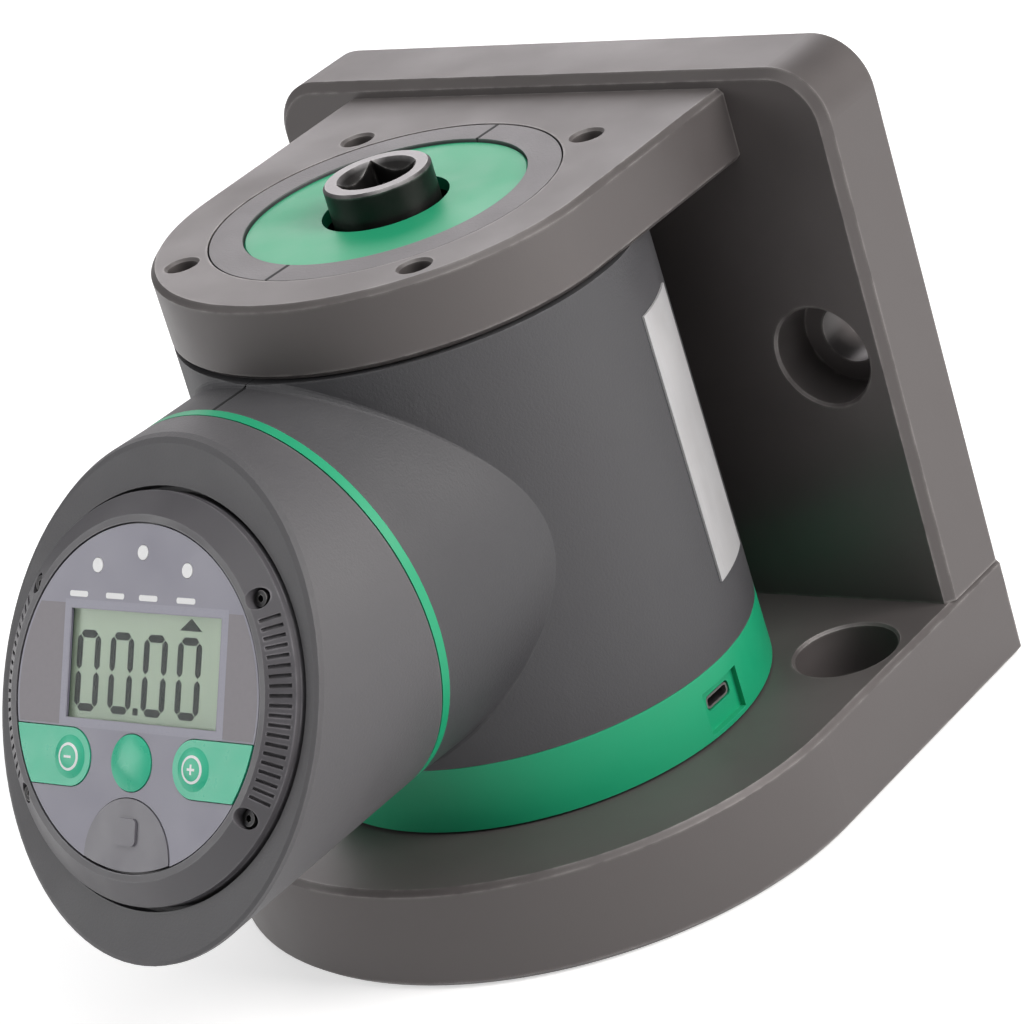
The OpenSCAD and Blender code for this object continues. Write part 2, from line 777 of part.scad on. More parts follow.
module seam_grooves() {
    // Grooves where the two halves meet, cut by square bars that stand on edge
    side = seam_depth * sqrt(2);
    lean = atan2(column_draft, column_top - ring_z);
    translate([0, 0, neck_top]) rotate([0, 45, 0]) cube([side, base_w, side], center = true);
    for (way = [-1, 1]) translate([0, -(pod_len + column_r) / 2, pod_z + way * pod_r]) rotate([0, 45, 0])
        cube([side, pod_reach + 2 * over, side], center = true);
    translate([0, column_r, ring_z]) rotate([lean, 0, 0])
        translate([0, 0, (ring_top + column_top) / 2 - ring_z]) rotate([0, 0, 45])
        cube([side, side, column_top - ring_top + 2 * over], center = true);
}

module housing_shell() {
    difference() {
        union() {
            difference() {
                housing_outside();
                housing_hollow();
            }
            intersection() {
                housing_outside();
                union() {
                    housing_webs();
                    pod_ribs();
                    at_housing_screws() translate([0, 0, -base_w]) cylinder(h = 2 * base_w, r = boss_r);
                }
            }
        }
        at_housing_screws() {
            translate([0, 0, -screw_back]) cylinder(h = screw_back + over, d = m3 * clear_share);
            translate([0, 0, -base_w]) cylinder(h = base_w - screw_back, d = m3 * head_share + head_room);
            cylinder(h = screw_tap + tap_extra, d = m3 + 2 * run_gap);
        }
        seam_grooves();
    }
}

module half_space(side) {
    translate([side > 0 ? seam / 2 : -seam / 2 - big, -big, -big]) cube([big, 2 * big, 2 * big]);
}

module housing_left() {
    color("#4b4b4f") in_housing() intersection() {
        housing_shell();
        half_space(-1);
    }
}

module housing_right() {
    skirt_in = column_r - ring_wall - seat_gap - skirt_t;
    shelf_z = port_z - usb_h / 2 - board_t;
    color("#505054") in_housing() difference() {
        union() {
            intersection() {
                housing_shell();
                half_space(1);
            }
            rotate([0, 0, port_turn])
                translate([skirt_in - usb_board_len, -usb_board_w / 2, shelf_z - skirt_t])
                cube([usb_board_len + skirt_t / 2, usb_board_w, skirt_t]);
        }
        port_slot();
    }
}

module base_ring() {
    color("#0aa877") in_housing() difference() {
        column_cone(0, ring_z, ring_top);
        translate([0, 0, ring_z - over]) cylinder(h = ring_h + 2 * over, r = column_r - ring_wall);
        rotate([0, 0, port_turn]) translate([column_r - port_depth, -port_w / 2, ring_z + port_lip])
            cube([wall, port_w, port_z + port_top_rise - ring_z - port_lip]);
        port_slot();
    }
}

module cover_disc() {
    color("#18b083") in_housing() translate([0, 0, disc_z]) difference() {
        bevel_disc(disc_r, disc_t, plate_chamfer / 3);
        translate([0, 0, -over]) cylinder(h = disc_t + 2 * over, d = disc_hole_d);
    }
}

module pod_ring() {
    color("#0aa877") in_pod() translate([0, 0, pod_len + seat_gap / 2])
        tube_of(pod_r, pod_r - wall, pod_ring_t);
}

module bush() {
    inner = tube_d / 2 + run_gap;
    outer = inner + bush_t;
    rotate_extrude() polygon([[inner, 0], [outer + bush_lip, 0], [outer + bush_lip, bush_lip],
        [outer, bush_lip], [outer, bush_h], [inner, bush_h]]);
}

module lower_bush() {
    color("#e8e6df") in_housing() translate([0, 0, lower_bush_z]) bush();
}

module upper_bush() {
    color("#e8e6df") in_housing() translate([0, 0, upper_bush_z + bush_h]) rotate([180, 0, 0]) bush();
}

module housing_screws() {
    color("#3a3a3e") in_housing() at_housing_screws() translate([0, 0, -screw_back]) rotate([180, 0, 0])
        socket_screw(m3, screw_back + screw_tap);
}

module name_plate() {
    r0 = column_at(plate_z) + seat_gap / 2;
    r1 = column_at(plate_top) + seat_gap / 2;
    color("#c9c9cb") in_housing() rotate([0, 0, name_plate_turn]) rotate_extrude(angle = plate_span)
        polygon([[r0, plate_z], [r0 + name_plate_t, plate_z], [r1 + name_plate_t, plate_top],
            [r1, plate_top]]);
}

module main_board() {
    chip = main_board_r / 3;
    color("#1f6b3a") in_pod() translate([0, 0, board_place]) {
        cylinder(h = board_t, r = main_board_r);
        translate([-chip / 2, -chip / 2, board_t - seat_gap]) cube([chip, chip, board_t]);
        translate([-chip, chip, board_t - seat_gap]) cube([2 * chip, chip / 2, 2 * board_t]);
    }
}

module battery_pack() {
    color("#2f5fa8") in_pod() translate([0, 0, board_place - seat_gap - battery_size[2]])
        linear_extrude(height = battery_size[2])
        rounded_rect(battery_size[0], battery_size[1], battery_size[2] / 3);
}

module usb_socket() {
    color("#c8c8c8") in_housing() rotate([0, 0, port_turn])
        translate([column_r - port_depth - usb_sink - usb_len, 0, port_z]) rotate([0, 90, 0]) difference() {
            linear_extrude(height = usb_len) rounded_rect(usb_h - seat_gap, usb_w, usb_slot);
            translate([0, 0, usb_wall]) linear_extrude(height = usb_len)
                rounded_rect(usb_h - seat_gap - 2 * usb_wall, usb_w - 2 * usb_wall, usb_slot - usb_wall);
        }
}

module usb_board() {
    skirt_in = column_r - ring_wall - seat_gap - skirt_t;
    color("#1f6b3a") in_housing() rotate([0, 0, port_turn])
        translate([skirt_in - usb_board_len, -usb_board_w / 2, port_z - usb_h / 2 - board_t])
        cube([usb_board_len - seat_gap - board_t, usb_board_w, board_t]);
}

// Collar

module collar_cone(inset, z0, z1) {
    translate([0, 0, z0]) cylinder(h = z1 - z0, r1 = pod_r + flare * (z0 - collar_z) - inset,
        r2 = pod_r + flare * (z1 - collar_z) - inset);
}

module face_slab(top, depth) {
    translate([0, 0, face_dist]) rotate([-face_tilt, 0, 0]) translate([-big, -big, top - depth])
        cube([2 * big, 2 * big, depth]);
}

module collar() {
    spigot_z = pod_len - spigot_len;
    groove_z = pod_len - groove_back - groove_w / 2;
    color("#46464a") in_pod() difference() {
        union() {
            intersection() {
                collar_cone(0, collar_z, collar_reach);
                face_slab(-rim_round, 2 * big);
            }
            hull() {
                intersection() {
                    collar_cone(0, collar_z, collar_reach);
                    face_slab(-rim_round, skin);
                }
                intersection() {
                    collar_cone(rim_round * rim_share, collar_z, collar_reach);
                    face_slab(-rim_round * rim_share, skin);
                }
                intersection() {
                    collar_cone(rim_round, collar_z, collar_reach);
                    face_slab(0, skin);
                }
            }
            translate([0, 0, spigot_z]) cylinder(h = collar_z - spigot_z + over, r = spigot_r);
        }
        intersection() {
            collar_cone(collar_wall, collar_z + collar_wall, collar_reach);
            face_slab(-recess - face_floor, 2 * big);
        }
        translate([0, 0, spigot_z - over])
            cylinder(h = collar_z + collar_wall - spigot_z + 2 * over, r = spigot_r - spigot_wall);
        translate([0, 0, groove_z]) tube_of(spigot_r + over, spigot_r - groove_depth, groove_w);
        translate([0, 0, face_dist]) rotate([-face_tilt, 0, 0]) {
            translate([0, 0, -recess]) cylinder(h = recess + over, r = head_r + head_gap);
            translate([0, 0, -recess - face_floor - over])
                cylinder(h = face_floor + 2 * over, r = hub_r + turn_gap);
        }
    }
}

// Display head

module at_board_screws() {
    for (a = board_screw_angles) rotate([0, 0, a])
        translate([board_screw_r, 0, display_board_top]) children();
}

module at_head_screws() {
    for (a = [screw_angle, 180 - screw_angle, 180 + screw_angle, -screw_angle])
        rotate([0, 0, a]) translate([screw_r, 0, screw_seat]) children();
}

module at_retainer_screws() {
    ring_of(retainer_screw_count, 2 * hub_r - hub_wall)
        translate([0, 0, retainer_top - retainer_t]) rotate([180, 0, 0]) children();
}

module head_pan() {
    hub_in = hub_r - hub_wall;
    color("#3f3f43") in_head() difference() {
        union() {
            rotate_extrude() polygon([[hub_in, retainer_top], [hub_r, retainer_top], [hub_r, pan_bottom],
                [head_r, pan_bottom], [head_r, pan_top], [pan_rim_r, pan_top],
                [pan_rim_r, pan_bottom + pan_floor_t], [hub_in, pan_bottom + pan_floor_t]]);
            for (a = board_screw_angles) rotate([0, 0, a])
                translate([board_screw_r, 0, pan_bottom + pan_floor_t / 2])
                cylinder(h = display_board_z - pan_bottom - pan_floor_t / 2, r = post_r);
        }
        at_head_screws() translate([0, 0, -screw_seat - head_screw_grip - tap_extra / 4])
            cylinder(h = big, d = m2 + 2 * run_gap);
        at_board_screws() translate([0, 0, -board_t - board_screw_grip - tap_extra / 4])
            cylinder(h = board_t + board_screw_grip, d = m2 + 2 * run_gap);
        ring_of(retainer_screw_count, 2 * hub_r - hub_wall) translate([0, 0, retainer_top - over])
            cylinder(h = retainer_grip + over + tap_extra / 4, d = m25 + 2 * run_gap);
    }
}

module hub_retainer() {
    color("#8b8d92") in_head() translate([0, 0, retainer_top - retainer_t]) difference() {
        tube_of(hub_r + retainer_w, hub_r - hub_wall, retainer_t - seat_gap);
        translate([0, 0, -over]) ring_of(retainer_screw_count, 2 * hub_r - hub_wall)
            cylinder(h = retainer_t + 2 * over, d = m25 * clear_share);
    }
}

module retainer_screws() {
    color("#3a3a3e") in_head() at_retainer_screws()
        socket_screw(m25, retainer_t + retainer_grip);
}

module head_ring() {
    land_r = seat_r + land_w;
    slope = atan2(head_rise - bevel_foot, head_r - land_r);
    mid_r = (head_r + land_r) / 2;
    mid_z = (head_rise + bevel_foot) / 2;
    color("#57575c") in_head() difference() {
        rotate_extrude() polygon([[ledge_r, pan_top], [head_r, pan_top], [head_r, bevel_foot],
            [land_r, head_rise], [seat_r, head_rise], [seat_r, overlay_z], [ledge_r, overlay_z]]);
        at_head_screws() {
            cylinder(h = head_rise, d = screw_hole_d);
            translate([0, 0, -screw_seat]) cylinder(h = screw_seat + over, d = m2 * clear_share);
        }
        for (side = [0, 180], i = [0 : grip_count - 1])
            rotate([0, 0, side + grip_span * (i / (grip_count - 1) - 0.5)]) translate([mid_r, 0, mid_z])
                rotate([0, slope, 0]) translate([-grip_len / 2, -grip_w / 2, -grip_depth])
                cube([grip_len, grip_w, 2 * grip_depth]);
    }
}

module head_screws() {
    color("#1d1d20") in_head() at_head_screws() socket_screw(m2, screw_seat + head_screw_grip);
}

module key_plan(kind, grow, limit) {
    intersection() {
        circle(r = limit);
        union() {
            if (kind == "mode") translate([0, key_y]) circle(d = key_d - key_inset + 2 * grow);
            if (kind == "clear") translate([0, arch_y]) circle(r = arch_r + grow);
            if (kind == "minus") translate([-key_x, key_y]) circle(d = key_d + 2 * grow);
            if (kind == "minus") translate([-key_x - 2 * head_r, key_y - key_d / 2 - grow])
                square([2 * head_r, key_d + 2 * grow]);
            if (kind == "plus") translate([key_x, key_y]) circle(d = key_d + 2 * grow);
            if (kind == "plus") translate([key_x, key_y - key_d / 2 - grow])
                square([2 * head_r, key_d + 2 * grow]);
        }
    }
}

module overlay() {
    color("#8a8791") in_head() difference() {
        translate([0, 0, overlay_z]) cylinder(h = overlay_t, r = overlay_r);
        translate([lcd_x - lcd_w / 2, lcd_y - lcd_h / 2, overlay_z - over])
            cube([lcd_w, lcd_h, overlay_t + 2 * over]);
        translate([lcd_x - lcd_w / 2 - window_lip, lcd_y - lcd_h / 2 - window_lip, overlay_z - over])
            cube([lcd_w + 2 * window_lip, lcd_h + 2 * window_lip, window_t + over]);
        for (kind = ["minus", "mode", "plus", "clear"]) translate([0, 0, overlay_z - over])
            linear_extrude(height = overlay_t + 2 * over) key_plan(kind, key_gap, 2 * head_r);
        for (a = led_angles) rotate([0, 0, a]) translate([led_r, 0, overlay_z - over])
            cylinder(h = overlay_t + 2 * over, d = led_d + 2 * seat_gap);
    }
}

module lcd_window() {
    edge = window_lip - seat_gap;
    color("#dfe8e4", 0.35) in_head()
        translate([lcd_x - lcd_w / 2 - edge, lcd_y - lcd_h / 2 - edge, overlay_z])
        cube([lcd_w + 2 * edge, lcd_h + 2 * edge, window_t - seat_gap]);
}

module lcd_module() {
    w = lcd_w + 2 * module_edge;
    h = lcd_h + 2 * module_edge;
    module_top = overlay_z - module_gap;
    glass_t = module_edge / 2;
    color("#b5c8ae") in_head() translate([lcd_x, lcd_y, 0]) {
        translate([-w / 2, -h / 2, display_board_top + seat_gap])
            cube([w, h, module_top - glass_t - display_board_top - seat_gap]);
        translate([-w / 2 + glass_t, -h / 2 + glass_t, module_top - glass_t - seat_gap])
            cube([w - 2 * glass_t, h - 2 * glass_t, glass_t + seat_gap]);
    }
}

module led_lights() {
    color("#e6e8ea") in_head() for (a = led_angles) rotate([0, 0, a]) translate([led_r, 0, display_board_top])
        cylinder(h = overlay_top - display_board_top + seat_gap, d = led_d);
}

module display_board() {
    color("#1f6b3a") in_head() difference() {
        translate([0, 0, display_board_z]) cylinder(h = board_t, r = display_board_r);
        at_board_screws() translate([0, 0, -board_t - over])
            cylinder(h = board_t + 2 * over, d = m2 * clear_share);
    }
}

module board_screws() {
    color("#3a3a3e") in_head() at_board_screws() socket_screw(m2, board_t + board_screw_grip);
}

module key_switches() {
    color("#2a2a2d") in_head() for (p = stem_places) translate([p[0], p[1], display_board_top]) difference() {
        translate([-switch_s / 2, -switch_s / 2, 0]) cube([switch_s, switch_s, switch_h]);
        translate([0, 0, switch_floor]) cylinder(h = switch_h, d = stem_d + 2 * stem_gap);
    }
}

module dome(r, rise, foot) {
    // A shallow round cap over height zero, on a foot that goes down
    ball = (r * r + rise * rise) / (2 * rise);
    intersection() {
        translate([0, 0, rise - ball]) sphere(r = ball);
        translate([0, 0, -foot]) cylinder(h = rise + foot, r = r);
    }
}

module key(kind, place) {
    top = overlay_top + key_rise;
    step_z = overlay_z + key_travel + seat_gap;
    lip_top = overlay_z - turn_gap;
    stem_z = display_board_top + switch_floor + key_travel + seat_gap;
    translate([0, 0, step_z]) linear_extrude(height = top - step_z) key_plan(kind, 0, overlay_r - key_gap);
    translate([0, 0, lip_top - seat_gap]) linear_extrude(height = step_z - lip_top + 2 * seat_gap)
        key_plan(kind, 0, ledge_r - key_gap);
    translate([0, 0, lip_top - key_lip_t]) linear_extrude(height = key_lip_t)
        key_plan(kind, key_lip, ledge_r - key_gap);
    translate([place[0], place[1], stem_z]) cylinder(h = lip_top - stem_z, d = stem_d);
    if (kind == "mode") translate([place[0], place[1], top])
        dome((key_d - key_inset) / 2, mode_rise, key_travel);
    if (kind == "minus" || kind == "plus") translate([place[0], place[1], top])
        dome(key_boss_d / 2, key_boss_rise, key_travel);
    if (kind == "clear") translate([place[0], place[1], top - key_travel])
        linear_extrude(height = cap_rise + key_travel) rounded_rect(cap_s, cap_s, cap_r);
}

module minus_key() {
    color("#25b487") in_head() key("minus", stem_places[0]);
}

module mode_key() {
    color("#25b487") in_head() key("mode", stem_places[1]);
}

module plus_key() {
    color("#25b487") in_head() key("plus", stem_places[2]);
}

module clear_key() {
    color("#4a4850") in_head() key("clear", stem_places[3]);
}

base_plate();
back_plate();
top_plate();
base_screws();
top_screws();
support_tube();
tube_screws();
measuring_shaft();
shaft_screws();
strain_gauges();
guide_bearing();
drive_socket();
housing_left();
housing_right();
base_ring();
cover_disc();
pod_ring();
lower_bush();
upper_bush();
housing_screws();
name_plate();
main_board();
battery_pack();
usb_socket();
usb_board();
collar();
head_pan();
hub_retainer();
retainer_screws();
head_ring();
head_screws();
overlay();
lcd_window();
lcd_module();
led_lights();
display_board();
board_screws();
key_switches();
minus_key();
mode_key();
plus_key();
clear_key();
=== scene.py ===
"""The looks of the torque tester: finishes, printed marks, floor, light and camera."""
import math

import bmesh
import bpy
from mathutils import Matrix, Vector


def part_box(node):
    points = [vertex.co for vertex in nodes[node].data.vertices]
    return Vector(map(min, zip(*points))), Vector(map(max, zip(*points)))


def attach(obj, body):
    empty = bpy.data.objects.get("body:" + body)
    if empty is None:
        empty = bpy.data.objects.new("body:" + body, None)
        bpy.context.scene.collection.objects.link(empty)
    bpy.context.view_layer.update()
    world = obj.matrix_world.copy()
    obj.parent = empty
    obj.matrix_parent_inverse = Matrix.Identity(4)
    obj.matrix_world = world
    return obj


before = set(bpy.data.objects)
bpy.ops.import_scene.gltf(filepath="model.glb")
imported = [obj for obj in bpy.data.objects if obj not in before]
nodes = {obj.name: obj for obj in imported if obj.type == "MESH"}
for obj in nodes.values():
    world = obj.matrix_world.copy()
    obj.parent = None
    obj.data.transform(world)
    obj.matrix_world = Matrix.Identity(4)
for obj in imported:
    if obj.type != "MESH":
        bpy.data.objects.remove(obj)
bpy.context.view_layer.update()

# Lengths are in millimetres, and MM turns them into Blender's metres
MM = 0.001

# Places and sizes that are the same in the part's source
HOUSING_TURN = math.radians(-4.2)
PORT_TURN = math.radians(3)
PORT_HEIGHT = 31.7
POD_HEIGHT = 85.6
POD_RADIUS = 46.0
NECK_RADIUS = 39.0
DISC_RADIUS = 31.5
FACE_DISTANCE = 102.4
FACE_TILT = math.radians(30.5)
HEAD_TURN = math.radians(2)
FILM_TOP = 5.2
LCD_MIDDLE = (1.7, 6.1)
KEY_TOP = 5.45
MINUS_PLACE = (-18.2, -13.2)
PLUS_PLACE = (18.2, -13.2)
BOSS_RADIUS = 4.5
BOSS_RISE = 0.8
SOCKET_TOP = 155.8

head_frame = (
    Matrix.Rotation(HOUSING_TURN, 4, "Z")
    @ Matrix.Translation((0, 0, POD_HEIGHT * MM))
    @ Matrix.Rotation(math.radians(90), 4, "X")
    @ Matrix.Translation((0, 0, FACE_DISTANCE * MM))
    @ Matrix.Rotation(-FACE_TILT, 4, "X")
    @ Matrix.Rotation(HEAD_TURN, 4, "Z")
)
housing_frame = Matrix.Rotation(HOUSING_TURN, 4, "Z")
port_frame = Matrix.Rotation(HOUSING_TURN + PORT_TURN, 4, "Z") @ Matrix.Translation((0, 0, PORT_HEIGHT * MM))


# Short ways to wire a node tree, in materials and in node groups

# A Mix node has sockets of every kind, and these are the ones for colours
MIX_BELOW = 6
MIX_ABOVE = 7
MIX_RESULT = 2


def feed(tree, value, socket):
    """Links one socket to another, or gives it a plain number or colour."""
    if isinstance(value, bpy.types.NodeSocket):
        tree.links.new(value, socket)
    elif socket.type == "RGBA":
        socket.default_value = (*value, 1.0)
    else:
        socket.default_value = value


def object_place(tree):
    return tree.nodes.new("ShaderNodeTexCoord").outputs["Object"]


def split_height(tree, vector):
    split = tree.nodes.new("ShaderNodeSeparateXYZ")
    tree.links.new(vector, split.inputs["Vector"])
    return split.outputs["Z"]


def cloud_noise(tree, place, scale, detail, roughness=0.5):
    noise = tree.nodes.new("ShaderNodeTexNoise")
    tree.links.new(place, noise.inputs["Vector"])
    feed(tree, scale, noise.inputs["Scale"])
    noise.inputs["Detail"].default_value = detail
    noise.inputs["Roughness"].default_value = roughness
    return noise.outputs["Fac"]


def stretched_lines(tree, stretch, scale, detail):
    """Noise that is squeezed or drawn out into fine lines."""
    mapping = tree.nodes.new("ShaderNodeMapping")
    mapping.inputs["Scale"].default_value = stretch
    tree.links.new(object_place(tree), mapping.inputs["Vector"])
    return cloud_noise(tree, mapping.outputs["Vector"], scale, detail)


def span(tree, value, low, high, start=0.0, end=1.0):
    """Maps a value that runs from start to end onto low to high."""
    node = tree.nodes.new("ShaderNodeMapRange")
    node.inputs["From Min"].default_value = start
    node.inputs["From Max"].default_value = end
    node.inputs["To Min"].default_value = low
    node.inputs["To Max"].default_value = high
    tree.links.new(value, node.inputs["Value"])
    return node.outputs["Result"]


def combine(tree, operation, first, second, clamp=False):
    node = tree.nodes.new("ShaderNodeMath")
    node.operation = operation
    node.use_clamp = clamp
    feed(tree, first, node.inputs[0])
    feed(tree, second, node.inputs[1])
    return node.outputs["Value"]


def blend_colours(tree, mask, below, above):
    """Mixes two colours, or two sockets, by a mask socket."""
    mix = tree.nodes.new("ShaderNodeMix")
    mix.data_type = "RGBA"
    tree.links.new(mask, mix.inputs["Factor"])
    feed(tree, below, mix.inputs[MIX_BELOW])
    feed(tree, above, mix.inputs[MIX_ABOVE])
    return mix.outputs[MIX_RESULT]


# Node groups that several finishes share


def shared_group(name, inputs, outputs):
    """An empty node group whose sockets are all numbers, with its two ends."""
    group = bpy.data.node_groups.new(name, "ShaderNodeTree")
    for label, value in inputs.items():
        socket = group.interface.new_socket(name=label, in_out="INPUT", socket_type="NodeSocketFloat")
        socket.default_value = value
    for label in outputs:
        group.interface.new_socket(name=label, in_out="OUTPUT", socket_type="NodeSocketFloat")
    return group, group.nodes.new("NodeGroupInput"), group.nodes.new("NodeGroupOutput")


def put_out_mask(group, start, end, mask, size_name, detail, low, high):
    """Breaks a mask up with noise, scales it by the group's Amount and puts it out."""
    noise = cloud_noise(group, object_place(group), start.outputs[size_name], detail)
    broken = combine(group, "MULTIPLY", mask, span(group, noise, 0.0, 1.0, low, high))
    scaled = combine(group, "MULTIPLY", broken, start.outputs["Amount"], clamp=True)
    group.links.new(scaled, end.inputs["Mask"])


def make_grain_group():
    """Fine moulded or blasted grain: a height for Bump and a soft mask."""
    group, start, end = shared_group(
        "surface grain", {"Grain Size": 1500.0, "Cloud Size": 60.0}, ["Height", "Clouds"])
    place = object_place(group)
    fine = cloud_noise(group, place, start.outputs["Grain Size"], 3.0, 0.62)
    clouds = cloud_noise(group, place, start.outputs["Cloud Size"], 4.0, 0.55)
    group.links.new(fine, end.inputs["Height"])
    group.links.new(clouds, end.inputs["Clouds"])
    return group


def make_edge_group():
    """A mask that is white where an edge has been rubbed, broken up by noise."""
    group, start, end = shared_group(
        "rubbed edges", {"Radius": 0.0008, "Amount": 1.0, "Breakup": 180.0}, ["Mask"])
    bevel = group.nodes.new("ShaderNodeBevel")
    bevel.samples = 4
    group.links.new(start.outputs["Radius"], bevel.inputs["Radius"])
    surface = group.nodes.new("ShaderNodeNewGeometry")
    likeness = group.nodes.new("ShaderNodeVectorMath")
    likeness.operation = "DOT_PRODUCT"
    group.links.new(bevel.outputs["Normal"], likeness.inputs[0])
    group.links.new(surface.outputs["Normal"], likeness.inputs[1])
    turned = span(group, likeness.outputs["Value"], 0.0, 1.0, 0.995, 0.86)
    put_out_mask(group, start, end, turned, "Breakup", 3.0, 0.35, 0.62)
    return group


def make_dust_group():
    """A mask of settled dust: strongest on faces that look up."""
    group, start, end = shared_group("settled dust", {"Amount": 0.2, "Patch Size": 25.0}, ["Mask"])
    surface = group.nodes.new("ShaderNodeNewGeometry")
    upward = span(group, split_height(group, surface.outputs["Normal"]), 0.0, 1.0, 0.3, 1.0)
    put_out_mask(group, start, end, upward, "Patch Size", 6.0, 0.3, 0.75)
    return group


grain_group = make_grain_group()
edge_group = make_edge_group()
dust_group = make_dust_group()


# Finishes

# The height at which the neck's top turns paler with a painted sheen, and over how much height it does so
SHEEN_HEIGHT = 148.9
SHEEN_FADE = 0.2
# How far down the socket its worn rim reaches
WORN_RIM = 1.0
# The heights between which the display turns paler
LCD_LOW = 78
LCD_HIGH = 104


def start_finish(name):
    material = bpy.data.materials.new(name)
    material.use_nodes = True
    tree = material.node_tree
    shader = next(n for n in tree.nodes if n.type == "BSDF_PRINCIPLED")
    return material, tree, shader


def put_group(tree, group, **values):
    node = tree.nodes.new("ShaderNodeGroup")
    node.node_tree = group
    for label, value in values.items():
        node.inputs[label.replace("_", " ")].default_value = value
    return node


def vary_roughness(tree, shader, noise, low, high):
    """Lets the roughness follow noise, whose values lie mostly between 0.3 and 0.7."""
    tree.links.new(span(tree, noise, low, high, 0.3, 0.7), shader.inputs["Roughness"])


def add_relief(tree, shader, height, strength, depth):
    relief = tree.nodes.new("ShaderNodeBump")
    relief.inputs["Strength"].default_value = strength
    relief.inputs["Distance"].default_value = depth
    tree.links.new(height, relief.inputs["Height"])
    tree.links.new(relief.outputs["Normal"], shader.inputs["Normal"])


def coated_finish(name, colour, drift, rubbed, dusty, roughness, metallic=0.0, grain_size=1500.0,
                  cloud_size=60.0, bump=0.1, bump_depth=0.00005, edge_radius=0.0008, edge_amount=0.6,
                  dust_amount=0.1, sheen=None):
    """A solid finish with colour drift, fine grain, rubbed edges and a little dust.

    Where a sheen colour is given, the faces over the sheen height have it, as a painted sheen.
    """
    material, tree, shader = start_finish(name)
    grain = put_group(tree, grain_group, Grain_Size=grain_size, Cloud_Size=cloud_size)
    edges = put_group(tree, edge_group, Radius=edge_radius, Amount=edge_amount)
    dust = put_group(tree, dust_group, Amount=dust_amount)
    body = blend_colours(tree, grain.outputs["Clouds"], colour, drift)
    if sheen:
        # Paler above a height: a painted sheen on the neck's upward top face
        height = split_height(tree, object_place(tree))
        top = span(tree, height, 0.0, 1.0, SHEEN_HEIGHT * MM, (SHEEN_HEIGHT + SHEEN_FADE) * MM)
        body = blend_colours(tree, top, body, sheen)
    worn = blend_colours(tree, edges.outputs["Mask"], body, rubbed)
    dusted = blend_colours(tree, dust.outputs["Mask"], worn, dusty)
    tree.links.new(dusted, shader.inputs["Base Color"])
    vary_roughness(tree, shader, grain.outputs["Clouds"], roughness - 0.06, roughness + 0.08)
    shader.inputs["Metallic"].default_value = metallic
    add_relief(tree, shader, grain.outputs["Height"], bump, bump_depth)
    return material


plate_finish = coated_finish(
    "grey anodised plate", (0.088, 0.079, 0.078), (0.114, 0.103, 0.102), (0.36, 0.34, 0.33),
    (0.30, 0.28, 0.27), 0.45, metallic=0.30, grain_size=1800.0, cloud_size=30.0, bump=0.22,
    bump_depth=0.00006, edge_radius=0.0011, edge_amount=0.75, dust_amount=0.12)
# The housing's finish, with a painted sheen on the neck's top
shell_finish = coated_finish(
    "spark grained housing", (0.047, 0.047, 0.051), (0.061, 0.060, 0.065), (0.14, 0.14, 0.145),
    (0.22, 0.22, 0.22), 0.54, grain_size=1700.0, cloud_size=45.0, bump=0.7, bump_depth=0.00014,
    edge_radius=0.0007, edge_amount=0.5, dust_amount=0.14, sheen=(0.165, 0.155, 0.162))
# The housing's spark-grained finish made lighter: painted light that stands in for the light on the collar's
# upward-tilted face
lightened_collar_finish = coated_finish(
    "spark grained collar", (0.078, 0.076, 0.081), (0.098, 0.095, 0.101), (0.16, 0.16, 0.165),
    (0.22, 0.22, 0.22), 0.54, grain_size=1700.0, cloud_size=45.0, bump=0.7, bump_depth=0.00014,
    edge_radius=0.0009, edge_amount=0.6, dust_amount=0.12)
green_finish = coated_finish(
    "green trim moulding", (0.003, 0.310, 0.142), (0.006, 0.355, 0.168), (0.05, 0.52, 0.30),
    (0.25, 0.45, 0.34), 0.46, grain_size=1900.0, cloud_size=50.0, bump=0.25, bump_depth=0.00005,
    edge_radius=0.0004, edge_amount=0.5, dust_amount=0.10)
bush_finish = coated_finish(
    "white bush moulding", (0.72, 0.70, 0.64), (0.78, 0.76, 0.70), (0.84, 0.83, 0.80), (0.60, 0.57, 0.50),
    0.45, grain_size=1200.0, bump=0.12, edge_amount=0.3)
black_screw_finish = coated_finish(
    "black oxide screw", (0.018, 0.018, 0.020), (0.035, 0.034, 0.034), (0.30, 0.29, 0.28),
    (0.10, 0.10, 0.10), 0.38, metallic=0.85, grain_size=2600.0, bump=0.2, edge_radius=0.0003,
    edge_amount=0.9)
gauge_finish = coated_finish(
    "amber foil gauge", (0.55, 0.30, 0.07), (0.66, 0.40, 0.12), (0.80, 0.58, 0.28), (0.5, 0.4, 0.3), 0.35,
    edge_radius=0.0002)
board_finish = coated_finish(
    "green board lacquer", (0.010, 0.110, 0.035), (0.016, 0.145, 0.050), (0.50, 0.42, 0.20),
    (0.1, 0.2, 0.12), 0.28, grain_size=900.0, edge_radius=0.0002)
battery_finish = coated_finish(
    "blue shrink sleeve", (0.020, 0.090, 0.330), (0.030, 0.120, 0.400), (0.10, 0.22, 0.55),
    (0.2, 0.25, 0.4), 0.30, grain_size=500.0, bump=0.3, edge_radius=0.0004)
switch_finish = coated_finish(
    "black switch body", (0.016, 0.016, 0.018), (0.026, 0.026, 0.028), (0.08, 0.08, 0.08),
    (0.08, 0.08, 0.08), 0.5)
ring_finish = coated_finish(
    "satin head ring", (0.078, 0.075, 0.082), (0.096, 0.092, 0.100), (0.26, 0.25, 0.27),
    (0.20, 0.20, 0.20), 0.42, grain_size=2600.0, cloud_size=90.0, bump=0.25, bump_depth=0.00005,
    edge_radius=0.0006, edge_amount=0.8, dust_amount=0.06)
